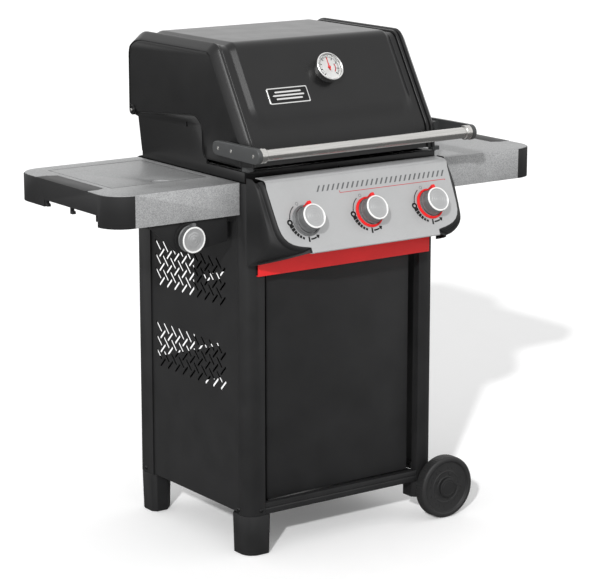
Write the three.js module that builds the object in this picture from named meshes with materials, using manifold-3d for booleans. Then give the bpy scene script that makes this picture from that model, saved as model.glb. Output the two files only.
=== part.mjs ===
// A gas barbecue grill on a cart: hinged lid, sloped control panel with three burner knobs, a side
// burner under a flush cover in the left shelf, a cabinet with one door and a pair of wheels.
// Millimetres, +Z up, +X to the right of a person standing in front, the front faces -Y.
// The origin is on the ground at the middle of the whole grill's outline.

import * as THREE from "three";
import { ConvexGeometry } from "three/addons/geometries/ConvexGeometry.js";
import { mergeVertices } from "three/addons/utils/BufferGeometryUtils.js";
import Module from "manifold-3d";

const wasm = await Module();
wasm.setup();

// ---------------------------------------------------------------- driving dimensions

const GAP = 0.4; // clearance between touching pieces
const CENTRE_Y = 54.6; // carries the cart's own middle to the middle of the whole outline

const CART = { halfWidth: 291, front: -258, rear: 258, base: 102, top: 938 };
const POST = { sheet: 2.5, radius: 29, width: 53, frontDepth: 42, rearDepth: 76, lip: 22 };
const FOOT = { sizeX: 70, sizeY: 78, proud: 1, round: 33, draft: 2, plug: 45 };
const SIDE_PANEL = { outer: 287.5, sheet: 1.5, front: -230, rear: 196, bottom: 106, top: 856 };
const SLOT = { pitchY: 35, pitchZ: 37, length: 34, width: 5.6, columns: 9, left: -147.5 };
const SLOT_BANDS = [417.5, 631.5]; // height of the lowest slot row in each perforated band
const SLOT_ROWS = 3;

const DOOR = { halfWidth: 220, front: -237, depth: 18, bottom: 134, top: 705, skin: 1.6 };
const DOOR_PIN = { x: -212, y: -226, radius: 4, reach: 8 };

const WHEEL = { radius: 82, width: 35, x: 311, face: 297, bore: 6.4, axle: 6 };
const WHEEL_BRACKET = { size: 60, bottom: 58, outer: 334 };

const SHELF = { inner: 293, seam: 585, outer: 650, front: -232, rear: 231, top: 940, depth: 79 };
const SHELF_CORNER = 62; // radius of the shelves' outer corners
const END_GRIP = { front: -119, rear: 123, inner: 606 };
const BASIN = { x0: -582, x1: -314, y0: -120, y1: 184, floor: 888, wall: 2 };

const COOKBOX = { halfWidth: 290, tubHalfWidth: 276, front: -250, rear: 214, floor: 785, rim: 966, wall: 4 };
const EAR_RISE = 1046; // height of the cookbox ears where they meet the hinge
const GRATE = { top: 960, thick: 9, bar: 8, bars: 9 };

const HINGE = { y: 250, z: 1059, rod: 4, bore: 4.4, knuckle: 13 };
const LID = { halfWidth: 298, capWidth: 36, top: 1262, rear: 268, sheet: 3, recess: 8, lip: 977 };
const LID_SLOPE = 0.6035; // how far the front leans back for each millimetre of height
// Lower end of the sloping front, above a lip that flares out.
const LID_FRONT = { y: -256, z: 1034, flare: 9 };

const GAUGE = { x: 10.6, z: 1181 }; // middle of the thermometer on the sloping front
const HANDLE = { y: -350, z: 1022, radius: 14, ferrule: 18, half: 318, plate: 12, rear: -172 };

const PANEL_TILT = THREE.MathUtils.degToRad(27.1); // the control panel leans back this far
const PANEL = { y: -361, z: 856, sheet: 2, top: 102, bottom: -66, halfTop: 275, halfBottom: 194 };
const KNOB_X = [-188, 0, 188];
const KNOB_NAMES = ["left", "centre", "right"];
const KNOB = { radius: 32, base: 7, height: 40, stem: 4, bore: 4.5, travel: 4 };
const BEZEL = { inner: 33.5, outer: 39, height: 6 };
const SIDE_KNOB = { x: -436, z: 820, radius: 33, front: -253, back: -227 };

// ---------------------------------------------------------------- solids

// A three.js geometry as a manifold-3d solid, with its shared vertices merged.
function solid(geometry) {
  const bare = geometry.index ? geometry.toNonIndexed() : geometry.clone();
  const shape = new THREE.BufferGeometry().setAttribute("position", bare.getAttribute("position"));
  const merged = mergeVertices(shape, 1e-3);
  return new wasm.Manifold(
    new wasm.Mesh({
      numProp: 3,
      vertProperties: new Float32Array(merged.attributes.position.array),
      triVerts: new Uint32Array(merged.index.array),
    }),
  );
}

// A manifold-3d solid as a three.js geometry with flat faces.
function geometryOf(body) {
  const mesh = body.getMesh();
  const shape = new THREE.BufferGeometry();
  shape.setAttribute("position", new THREE.BufferAttribute(Float32Array.from(mesh.vertProperties), 3));
  shape.setIndex(new THREE.BufferAttribute(Uint32Array.from(mesh.triVerts), 1));
  const flat = shape.toNonIndexed();
  flat.computeVertexNormals();
  return flat;
}

function union(...bodies) {
  return bodies.reduce((sum, body) => sum.add(body));
}

function cut(body, ...tools) {
  return tools.reduce((rest, tool) => rest.subtract(tool), body);
}

// A box between two corners.
function box(x0, x1, y0, y1, z0, z1) {
  const shape = new THREE.BoxGeometry(x1 - x0, y1 - y0, z1 - z0);
  shape.translate((x0 + x1) / 2, (y0 + y1) / 2, (z0 + z1) / 2);
  return solid(shape);
}

// A cylinder between two points, with a second radius at the far end for a taper.
function rod(from, to, radius, sides = 24, farRadius = radius) {
  const start = new THREE.Vector3(...from);
  const along = new THREE.Vector3(...to).sub(start);
  const shape = new THREE.CylinderGeometry(farRadius, radius, along.length(), sides);
  shape.applyQuaternion(
    new THREE.Quaternion().setFromUnitVectors(new THREE.Vector3(0, 1, 0), along.clone().normalize()),
  );
  const middle = start.addScaledVector(along, 0.5);
  shape.translate(middle.x, middle.y, middle.z);
  return solid(shape);
}

// An outline given as [a, b] points and swept along the third axis. The axes of a and b depend on
// the direction: along X they are Y and Z, along Y they are X and Z, along Z they are X and Y.
function prism(axis, outline, from, to) {
  const shape = new THREE.Shape(outline.map(([a, b]) => new THREE.Vector2(a, b)));
  const swept = new THREE.ExtrudeGeometry(shape, { depth: to - from, bevelEnabled: false });
  const turn = new THREE.Matrix4();
  if (axis === "x") {
    turn.makeBasis(new THREE.Vector3(0, 1, 0), new THREE.Vector3(0, 0, 1), new THREE.Vector3(1, 0, 0));
    swept.translate(0, 0, from);
  } else if (axis === "y") {
    turn.makeBasis(new THREE.Vector3(1, 0, 0), new THREE.Vector3(0, 0, 1), new THREE.Vector3(0, -1, 0));
    swept.translate(0, 0, -to);
  } else {
    swept.translate(0, 0, from);
  }
  return solid(swept.applyMatrix4(turn));
}

// Points of an arc from one angle to another, in degrees.
function arc(cx, cy, radiusX, from, to, steps = 6, radiusY = radiusX) {
  return Array.from({ length: steps + 1 }, (_, i) => {
    const angle = THREE.MathUtils.degToRad(from + ((to - from) * i) / steps);
    return [cx + radiusX * Math.cos(angle), cy + radiusY * Math.sin(angle)];
  });
}

// A ring-shaped outline of constant thickness along an open path: sheet metal seen edge on.
function sheet(path, thickness) {
  const side = (sign) =>
    path.map(([x, y], i) => {
      const [ax, ay] = path[Math.max(i - 1, 0)];
      const [bx, by] = path[Math.min(i + 1, path.length - 1)];
      const length = Math.hypot(bx - ax, by - ay);
      const [nx, ny] = [-(by - ay) / length, (bx - ax) / length];
      const [px, py] = i > 0 ? [x - ax, y - ay] : [bx - x, by - y];
      const cosine = Math.abs(px * (bx - ax) + py * (by - ay)) / (Math.hypot(px, py) * length);
      const reach = (sign * thickness) / 2 / Math.max(cosine, 0.6);
      return [x + nx * reach, y + ny * reach];
    });
  return [...side(1), ...side(-1).reverse()];
}

// Mirrors an outline's first coordinate and keeps its winding.
function mirrored(outline) {
  return outline.map(([a, b]) => [-a, b]).reverse();
}

// ---------------------------------------------------------------- materials

function material(colour, roughness, metalness) {
  return new THREE.MeshStandardMaterial({ color: colour, roughness, metalness });
}

const MATERIALS = {
  enamel: material(0x1c1c1d, 0.32, 0.1),
  blackPaint: material(0x222223, 0.5, 0.2),
  plastic: material(0x262627, 0.6, 0),
  silverPaint: material(0xa9abab, 0.42, 0.5),
  shelfSteel: material(0x9a9c9c, 0.5, 0.6),
  stainless: material(0xc9c8c4, 0.25, 1),
  red: material(0xc6262b, 0.45, 0.1),
  castIron: material(0x1a1a1b, 0.75, 0.3),
  rubber: material(0x202021, 0.8, 0),
  knobGrey: material(0xb4b6b6, 0.4, 0.4),
  bracketGrey: material(0x6d6e6f, 0.5, 0.6),
  brass: material(0xb08d4a, 0.4, 0.9),
  dialWhite: material(0xf0efec, 0.5, 0),
};

const grill = new THREE.Group();
grill.position.y = CENTRE_Y;

// Adds one named piece to a group. Positions default to the group's own origin.
function piece(group, name, body, look, position = [0, 0, 0]) {
  const mesh = new THREE.Mesh(geometryOf(body), MATERIALS[look]);
  mesh.name = name;
  mesh.position.set(...position);
  group.add(mesh);
  return mesh;
}

// ---------------------------------------------------------------- cart frame

// Plan outline of the front left post: a sheet that runs along the side, round the corner,
// across the front and back into the cabinet.
function postOutline(depth) {
  const half = POST.sheet / 2;
  const x = -CART.halfWidth + half;
  const y = CART.front + half;
  const r = POST.radius - half;
  const inner = -CART.halfWidth + POST.width - half;
  const path = [
    [x, CART.front + depth],
    ...arc(x + r, y + r, r, 180, 270, 5),
    [inner, y],
    [inner, CART.front + POST.lip],
  ];
  return sheet(path, POST.sheet);
}

function flipY(outline) {
  return outline.map(([a, b]) => [a, -b]).reverse();
}

function footOutline() {
  const a = -CART.halfWidth - FOOT.proud;
  const b = CART.front - FOOT.proud;
  const inner = a + FOOT.sizeX;
  const far = b + FOOT.sizeY;
  return [
    [a, b + FOOT.round],
    ...arc(a + FOOT.round, b + FOOT.round, FOOT.round, 202.5, 247.5, 2),
    [a + FOOT.round, b],
    [inner - 4, b],
    [inner, b + 4],
    [inner, far - 25],
    [inner - 25, far],
    [a + 11, far],
    [a, far - 11],
  ];
}

// A moulded foot, drawn in a little towards the ground.
function footBody(outline) {
  const middle = new THREE.Vector2();
  outline.forEach(([x, y]) => middle.add(new THREE.Vector2(x, y).divideScalar(outline.length)));
  const low = outline.map(([x, y]) => [
    x - Math.sign(x - middle.x) * FOOT.draft,
    y - Math.sign(y - middle.y) * FOOT.draft,
  ]);
  const points = (path, z) => path.map(([x, y]) => new THREE.Vector3(x, y, z));
  return solid(new ConvexGeometry([...points(low, 0), ...points(outline, CART.base)]));
}

// The plug that goes up inside the post.
function plugOutline() {
  const x0 = -SIDE_PANEL.outer + SIDE_PANEL.sheet + 3;
  const y0 = CART.front + POST.sheet + 3;
  return [
    [x0, y0 + 14],
    [x0 + 20, y0],
    [-243, y0],
    [-243, -226],
    [x0, -226],
  ];
}

function makePostsAndFeet(cart) {
  const places = {
    front_left: (outline) => outline,
    front_right: mirrored,
    rear_left: flipY,
    rear_right: (outline) => flipY(mirrored(outline)),
  };
  for (const [place, turn] of Object.entries(places)) {
    const depth = place.startsWith("front") ? POST.frontDepth : POST.rearDepth;
    const outline = turn(postOutline(depth));
    piece(cart, `post_${place}`, prism("z", outline, CART.base + GAP, CART.top), "blackPaint");
    const plug = prism("z", turn(plugOutline()), CART.base - 5, CART.base + FOOT.plug);
    if (place.endsWith("left")) {
      const foot = footBody(turn(footOutline()));
      piece(cart, `foot_${place}`, union(foot, plug), "plastic");
    } else {
      piece(cart, `wheel_bracket_${place}`, union(wheelBracket(place), plug), "plastic");
    }
  }
}

// A short foot that carries the axle bolt outside the cabinet.
function wheelBracket(place) {
  const sign = place.startsWith("front") ? 1 : -1;
  const x0 = CART.halfWidth - WHEEL_BRACKET.size;
  const inner = CART.front + WHEEL_BRACKET.size;
  const near = CART.front + 1;
  const outline = [
    [x0 + 12, near],
    [WHEEL_BRACKET.outer - 8, near],
    [WHEEL_BRACKET.outer, near + 8],
    [WHEEL_BRACKET.outer, inner - 12],
    [WHEEL_BRACKET.outer - 12, inner],
    [x0 + 12, inner],
    [x0, inner - 12],
    [x0, near + 12],
  ];
  const turned = sign > 0 ? outline : flipY(outline);
  const block = prism("z", turned, WHEEL_BRACKET.bottom, CART.base);
  const bore = rod(
    [WHEEL.x, sign * (CART.front - 10), WHEEL.radius],
    [WHEEL.x, sign * (inner + 10), WHEEL.radius],
    WHEEL.axle + GAP,
    12,
  );
  return cut(block, bore);
}

// Slanted slots in a herringbone: each cell holds one leaning each way.
function slotTools(outerX, firstColumn) {
  const tools = [];
  const half = SLOT.length / 2;
  const side = SLOT.width / 2;
  const nose = side * 0.45;
  const outline = [
    [-side, -half + side * 0.7],
    [-nose, -half],
    [nose, -half],
    [side, -half + side * 0.7],
    [side, half - side * 0.7],
    [nose, half],
    [-nose, half],
    [-side, half - side * 0.7],
  ];
  for (const base of SLOT_BANDS) {
    for (let row = 0; row < SLOT_ROWS * 2; row++) {
      const lean = row % 2 === 0 ? 1 : -1;
      const columns = SLOT.columns;
      for (let column = firstColumn; column < columns; column++) {
        const y = SLOT.left + column * SLOT.pitchY + (lean > 0 ? 0 : SLOT.pitchY / 2);
        const z = base + (row * SLOT.pitchZ) / 2;
        const turned = outline.map(([a, b]) => [
          y + (a - lean * b) * Math.SQRT1_2,
          z + (lean * a + b) * Math.SQRT1_2,
        ]);
        tools.push(prism("x", turned, outerX - 6, outerX + 6));
      }
    }
  }
  return tools;
}

// The ribbed block on the left panel, below the shelf.
function louvreBlock(outer) {
  const back = box(-outer - 9, -outer + 0.5, -176, -94, 800, 836);
  const ribs = Array.from({ length: 6 }, (_, i) => {
    const y = -176 + i * 15.4;
    return box(-outer - 17, -outer - 8, y, y + 5, 792, 836);
  });
  return [back, ...ribs];
}

function makeSidePanels(cart) {
  const { outer, sheet: thick, front, rear, bottom, top } = SIDE_PANEL;
  for (const [name, sign] of [["left", -1], ["right", 1]]) {
    const near = sign * (outer - thick);
    const far = sign * outer;
    const plate = box(Math.min(near, far), Math.max(near, far), front, rear, bottom, top);
    const panel = cut(plate, ...slotTools(sign * outer, sign < 0 ? 0 : 1));
    const whole = sign < 0 ? union(panel, ...louvreBlock(outer)) : panel;
    piece(cart, `side_panel_${name}`, whole, "blackPaint");
  }
}

function makeRails(cart) {
  const inner = CART.halfWidth - POST.width - 0.8;
  const y = CART.front + 1.2;
  const path = [
    [y + 20, CART.base + 1.8],
    [y, CART.base + 1.8],
    [y, 115.5],
    [y + 3, 118],
    [y, 120.5],
    [y, 131],
    [y + 14, 131],
  ];
  const front = prism("x", sheet(path, 2), -inner, inner);
  piece(cart, "front_bottom_rail", front, "blackPaint");

  const rear = box(-inner, inner, CART.rear - 8, CART.rear - 2, 312, 400);
  piece(cart, "rear_lower_rail", rear, "blackPaint");

  // The red rail across the top of the door, with a ledge that holds the upper door pin.
  const red = box(-263, 263, -267, -264.5, 711, 752);
  const folded = box(-263, 263, -265, CART.front - 1, 711, 713.5);
  const foldedTop = box(-263, 263, -265, CART.front - 1, 749.5, 752);
  const ledge = box(-inner, inner, -265, -215, 711, 713.5);
  const hole = rod([DOOR_PIN.x, DOOR_PIN.y, 700], [DOOR_PIN.x, DOOR_PIN.y, 730], DOOR_PIN.radius + GAP, 12);
  piece(cart, "front_top_rail", cut(union(red, folded, foldedTop, ledge), hole), "red");
}

function makeRearShield(cart) {
  const outline = [
    [-237, 788],
    [208, 788],
    [208, 690],
    [-115, 690],
    [-115, 410],
    [237, 410],
    [237, 836],
    [-237, 836],
  ];
  const slot = box(-90, 200, 230, 270, 584, 602);
  piece(cart, "rear_shield", cut(prism("y", outline, 248, 250), slot), "blackPaint");
}

function makeBottomShelf(cart) {
  const tray = box(-283, 283, -231, 231, 108, 128);
  const under = box(-281, 281, -229, 229, 100, 126);
  const hole = rod([DOOR_PIN.x, DOOR_PIN.y, 120], [DOOR_PIN.x, DOOR_PIN.y, 135], DOOR_PIN.radius + GAP, 12);
  const clear = [];
  for (const sx of [-1, 1]) {
    for (const sy of [-1, 1]) {
      const [x0, x1] = sx < 0 ? [-290, -240] : [240, 290];
      const [y0, y1] = sy < 0 ? [-240, -196] : [196, 240];
      clear.push(box(x0, x1, y0, y1, 90, 140));
    }
  }
  piece(cart, "bottom_shelf", cut(tray, under, hole, ...clear), "blackPaint");
}

function makeDoor(cart) {
  const { halfWidth, front, depth, bottom, top, skin } = DOOR;
  const pan = box(-halfWidth, halfWidth, front, front + depth, bottom, top);
  const hollow = box(
    -halfWidth + 15,
    halfWidth - skin,
    front + skin,
    front + depth + 5,
    bottom + 10,
    top - 10,
  );
  const pinEnd = (z) => [DOOR_PIN.x, DOOR_PIN.y, z];
  const pins = [
    rod(pinEnd(bottom - DOOR_PIN.reach), pinEnd(bottom + 2), DOOR_PIN.radius, 12),
    rod(pinEnd(top - 2), pinEnd(top + DOOR_PIN.reach + 2), DOOR_PIN.radius, 12),
  ];
  piece(cart, "door", union(cut(pan, hollow), ...pins), "blackPaint");
}

// Wheels stand on axles that run front to back, so the grill rolls sideways.
function makeWheels(cart) {
  for (const [place, sign] of [["front", -1], ["rear", 1]]) {
    const near = sign * (WHEEL.face - WHEEL.width);
    const face = sign * WHEEL.face;
    const at = (y) => [WHEEL.x, y, WHEEL.radius];
    const tyre = rod(at(near), at(face), WHEEL.radius, 32);
    const dish = cut(
      rod(at(face - sign * 4), at(face + sign), 66, 24),
      rod(at(face - sign * 5), at(face + sign * 2), 30, 16),
    );
    const back = rod(at(near - sign), at(near + sign * 18), 60, 16);
    const hub = rod(at(near), at(near + sign * 20), 16, 12);
    const bore = rod(at(near - sign * 5), at(face + sign * 5), WHEEL.bore, 12);
    const body = cut(union(cut(tyre, dish, back), hub), bore);
    piece(cart, `wheel_${place}`, body, "rubber");

    const bolt = rod(at(sign * 210), at(face + sign * 0.6), WHEEL.axle, 12);
    const cap = rod(at(face + sign * 0.6), at(face + sign * 4), 26, 18, 23);
    piece(cart, `axle_${place}`, union(bolt, cap), "plastic");
  }
}

// ---------------------------------------------------------------- cookbox and its contents

// Side outline of a cookbox ear, from its foot on the rim to the hinge knuckle and back.
function earOutline() {
  return [
    [-83, COOKBOX.rim - 8],
    [COOKBOX.rear + 2, COOKBOX.rim - 8],
    [232, EAR_RISE - 2],
    [240, EAR_RISE - 1],
    ...arc(HINGE.y, HINGE.z, HINGE.knuckle, -110, 140, 7),
    [-28, 1080],
    ...arc(-33, 1031, 49, 92, 180, 5),
  ];
}

function makeCookbox(cart) {
  const { halfWidth: w, tubHalfWidth: t, front, rear, floor, rim, wall } = COOKBOX;
  const tub = prism(
    "y",
    [
      [-t + 40, floor],
      [t - 40, floor],
      [t, 900],
      [t, 946],
      [-t, 946],
      [-t, 900],
    ],
    -230,
    rear - 6,
  );
  const collar = box(-w, w, front, rear, 942, rim);
  const tubInside = prism(
    "y",
    [
      [-t + 40 + wall, floor + wall],
      [t - 40 - wall, floor + wall],
      [t - wall, 900],
      [t - wall, 980],
      [-t + wall, 980],
      [-t + wall, 900],
    ],
    -230 + wall,
    rear - 6 - wall,
  );
  const drain = box(-90, 90, -60, 60, floor - 5, floor + 10);
  const ears = [-1, 1].map((sign) => {
    const [x0, x1] = sign < 0 ? [-w, -w + wall] : [w - wall, w];
    return prism("x", earOutline(), x0, x1);
  });
  const back = box(-w, w, rear - 6, rear - 3, rim - 8, 1036);
  const runners = [-1, 1].map((sign) => {
    const [a, b, c, d] = sign < 0 ? [-210, -207, -207.5, -196] : [207, 210, 196, 207.5];
    return union(box(a, b, -185, 205, 739, floor + 1), box(c, d, -185, 205, 739, 741));
  });
  const rackSlots = box(-w - 5, w + 5, 0, 6, 1046, 1058);
  const rodBore = rod([-w - 5, HINGE.y, HINGE.z], [w + 5, HINGE.y, HINGE.z], HINGE.bore, 12);
  const burnerHoles = KNOB_X.map((x) => rod([x, front - 20, 845], [x, -200, 845], 17, 12));
  const body = cut(
    union(cut(union(tub, collar), tubInside, drain), back, ...ears, ...runners),
    rackSlots,
    rodBore,
    ...burnerHoles,
  );
  piece(cart, "cookbox", body, "enamel");

  const hingeEnd = LID.halfWidth + 3;
  const hinge = rod([-hingeEnd, HINGE.y, HINGE.z], [hingeEnd, HINGE.y, HINGE.z], HINGE.rod, 12);
  piece(cart, "lid_hinge_rod", hinge, "stainless");
}

function makeGrates(cart) {
  const { top, thick, bar, bars } = GRATE;
  const front = -222;
  const rear = 200;
  for (const [name, x0, x1] of [["left", -269, -2], ["right", 2, 269]]) {
    const rails = [front, (front + rear - bar) / 2, rear - bar].map((y) =>
      box(x0, x1, y, y + bar, top - thick, top - 2),
    );
    const rungs = Array.from({ length: bars }, (_, i) => {
      const x = x0 + ((x1 - x0 - bar) * i) / (bars - 1);
      return box(x, x + bar, front, rear, top - thick + 1, top);
    });
    piece(cart, `cooking_grate_${name}`, union(...rails, ...rungs), "castIron");
  }
}

function makeHeatParts(cart) {
  // Steel tents over the burners, hung on two rails.
  const tents = [-186, -93, 0, 93, 186].map((x) => {
    return prism("y", sheet([[x - 38, 885], [x, 922], [x + 38, 885]], 2), -215, 195);
  });
  const rails = [-216, 192].map((y) => box(-232, 232, y, y + 4, 884, 892));
  piece(cart, "flavour_bars", union(...tents, ...rails), "stainless");

  const tubes = KNOB_X.map((x) =>
    union(
      rod([x, -225, 845], [x, 190, 845], 12, 12),
      rod([x, -276, 845], [x, -224, 845], 15, 12),
    ),
  );
  const crossover = rod([-188, 180, 845], [188, 180, 845], 6, 8);
  piece(cart, "burner_set", union(...tubes, crossover), "stainless");

  const wire = (x0, y0, x1, y1, z) => rod([x0, y0, z], [x1, y1, z], 3, 6);
  const frameRods = [
    wire(-262, 60, 262, 60, 1048),
    wire(-262, 180, 262, 180, 1048),
    ...Array.from({ length: 19 }, (_, i) => wire(-261 + i * 29, 60, -261 + i * 29, 180, 1048)),
    rod([-262, 60, 1048], [-284, 3, 1052], 2.5, 6),
    rod([262, 60, 1048], [284, 3, 1052], 2.5, 6),
  ];
  piece(cart, "warming_rack", union(...frameRods), "stainless");
}

// The tray slides out at the back on runners below the cookbox and carries a catch pan.
function makeGreaseTray(cart) {
  const tray = box(-204, 204, -180, 232, 742, 772);
  const inside = box(-202, 202, -178, 229, 744, 780);
  const drain = box(-58, 58, -38, 78, 735, 750);
  const pull = box(-80, 80, 231, 244, 766, 772);
  piece(cart, "grease_tray", union(cut(tray, inside, drain), pull), "stainless");

  const pan = prism("y", [[-48, 712], [48, 712], [56, 747], [-56, 747]], -36, 76);
  const panInside = prism("y", [[-46, 714], [46, 714], [54, 750], [-54, 750]], -34, 74);
  const flange = cut(box(-64, 64, -44, 84, 744.5, 747), box(-54, 54, -34, 74, 740, 750));
  piece(cart, "catch_pan", cut(union(pan, flange), panInside), "stainless");
}

// ---------------------------------------------------------------- shelves

// Plan outline of a shelf's outer end, with rounded corners, for the right-hand side.
function shelfEnd(inner, outer, front, rear, radius) {
  return [
    [inner, front],
    ...arc(outer - radius, front + radius, radius, -90, 0, 6),
    ...arc(outer - radius, rear - radius, radius, 0, 90, 6),
    [inner, rear],
  ];
}

function makeShelf(cart, side) {
  const { inner, seam, outer, front, rear, top, depth } = SHELF;
  const turn = side === "left" ? mirrored : (outline) => outline;
  const deck = shelfEnd(inner, outer - 3, front, rear, SHELF_CORNER);
  const notch = [
    [END_GRIP.inner - 10, END_GRIP.front + 12],
    [END_GRIP.inner + 14, END_GRIP.front],
    [outer + 5, END_GRIP.front],
    [outer + 5, END_GRIP.rear],
    [END_GRIP.inner + 14, END_GRIP.rear],
    [END_GRIP.inner - 10, END_GRIP.rear - 12],
  ];
  const strip = (y0, y1) => turn([[inner, y0], [seam, y0], [seam, y1], [inner, y1]]);
  const flange = (y0, y1) => prism("z", strip(y0, y1), top - depth, top - 1);
  const lip = (y0, y1) => prism("z", strip(y0, y1), top - depth, top - depth + 2);
  let body = union(
    cut(prism("z", turn(deck), top - 2, top), prism("z", turn(notch), top - 10, top + 10)),
    flange(front, front + 2),
    flange(rear - 2, rear),
    lip(front, front + 16),
    lip(rear - 16, rear),
  );
  if (side === "left") {
    const { x0, x1, y0, y1, floor, wall } = BASIN;
    const basin = box(x0 - wall, x1 + wall, y0 - wall, y1 + wall, floor, top - 1);
    const opening = box(x0, x1, y0, y1, floor + wall, top + 5);
    const throat = rod([-449, 40, floor - 5], [-449, 40, floor + 5], 14, 12);
    body = cut(union(body, basin), opening, throat);
  }
  piece(cart, `${side}_shelf`, body, "shelfSteel");

  // The plastic end: a rim under the deck, cut away below the grip, with tool hooks.
  const rimTop = top - 2 - GAP;
  const outside = shelfEnd(seam + GAP, outer, front, rear, SHELF_CORNER);
  const inside = shelfEnd(seam - 5, outer - 4, front + 4, rear - 4, SHELF_CORNER - 4);
  const shell = cut(
    prism("z", turn(outside), top - depth, rimTop),
    prism("z", turn(inside), top - depth - 5, rimTop - 3),
    prism("z", turn([[seam + 30, -168], [outer + 5, -168], [outer + 5, 84], [seam + 30, 84]]), 840, 889),
    prism("z", turn([[seam + 20, 84], [outer + 5, 84], [outer + 5, 260], [seam + 20, 260]]), 840, 872),
  );
  const grip = prism(
    "z",
    turn([
      [END_GRIP.inner - 8, END_GRIP.front + 14],
      [END_GRIP.inner + 15, END_GRIP.front + 1],
      [outer, END_GRIP.front + 1],
      [outer, END_GRIP.rear - 1],
      [END_GRIP.inner + 15, END_GRIP.rear - 1],
      [END_GRIP.inner - 8, END_GRIP.rear - 14],
    ]),
    rimTop - 2,
    top - 0.2,
  );
  const hook = (y) =>
    prism("x", [[y, 892], [y, 874], [y - 12, 874], [y - 12, 880], [y - 5, 882], [y - 5, 892]], 0, 9)
      .translate([side === "left" ? -outer : outer - 9, 0, 0]);
  piece(cart, `${side}_shelf_end_cap`, union(shell, grip, hook(-160), hook(-40), hook(80)), "plastic");
}

function makeSideBurner(cart) {
  const { x0, x1, y0, y1, floor } = BASIN;
  const cover = box(x0 + 1, x1 - 1, y0 + 1, y1 - 1, SHELF.top - 3, SHELF.top - 0.2);
  const scoop = rod([-440, y0 + 10, SHELF.top + 8], [-440, y0 + 10, SHELF.top - 2.2], 24, 20);
  const lipUnder = box(-470, -410, y0 + 3, y0 + 8, SHELF.top - 9, SHELF.top - 2);
  piece(cart, "side_burner_cover", union(cut(cover, scoop), lipUnder), "shelfSteel");

  const head = union(
    rod([-449, 40, floor + 8], [-449, 40, floor + 22], 40, 20),
    rod([-449, 40, floor + 22], [-449, 40, floor + 28], 30, 20),
  );
  const neck = rod([-449, 40, 826], [-449, 40, floor + 9], 10, 12);
  const feed = rod([-449, 44, 826], [-436, -180, 822], 9, 10);
  piece(cart, "side_burner", union(head, neck, feed), "castIron");

  // The plate below the shelf that carries the side burner's valve.
  const plate = prism("y", [[-545, 860], [-470, 790], [-400, 788], [-322, 800], [-322, 860]], -222, -218);
  const ring = rod([SIDE_KNOB.x, -226, SIDE_KNOB.z], [SIDE_KNOB.x, -220, SIDE_KNOB.z], 38, 20);
  const bore = rod([SIDE_KNOB.x, -235, SIDE_KNOB.z], [SIDE_KNOB.x, -200, SIDE_KNOB.z], KNOB.bore, 10);
  const tab = box(-540, -325, -222, -196, 857.5, 860);
  piece(cart, "side_burner_bracket", cut(union(plate, ring, tab), bore), "plastic");

  const stem = rod([SIDE_KNOB.x, -190, SIDE_KNOB.z], [SIDE_KNOB.x, -244, SIDE_KNOB.z], KNOB.stem, 10);
  piece(cart, "side_valve_stem", stem, "brass");
  const onAxis = (y) => [SIDE_KNOB.x, y, SIDE_KNOB.z];
  const { radius, back, front } = SIDE_KNOB;
  const knob = rod(onAxis(back - 4), onAxis(front), radius, 24, radius - 2);
  const socket = rod([SIDE_KNOB.x, -200, SIDE_KNOB.z], [SIDE_KNOB.x, -249, SIDE_KNOB.z], KNOB.bore, 10);
  piece(cart, "side_knob", cut(knob, socket), "knobGrey");
}

// ---------------------------------------------------------------- control panel

// Half outline of the silver panel from its top corner down to its lower edge, in the panel's own
// frame: X across, Y up the slope.
function panelOutline(grow = 0) {
  const { top, bottom, halfTop, halfBottom } = PANEL;
  const right = [
    [halfBottom, bottom],
    ...arc(205, 8, 64, -85, 0, 6, 74),
    [halfTop, top],
  ].map(([x, y]) => [x + grow, y]);
  return [...right, ...mirrored(right)];
}

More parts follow.
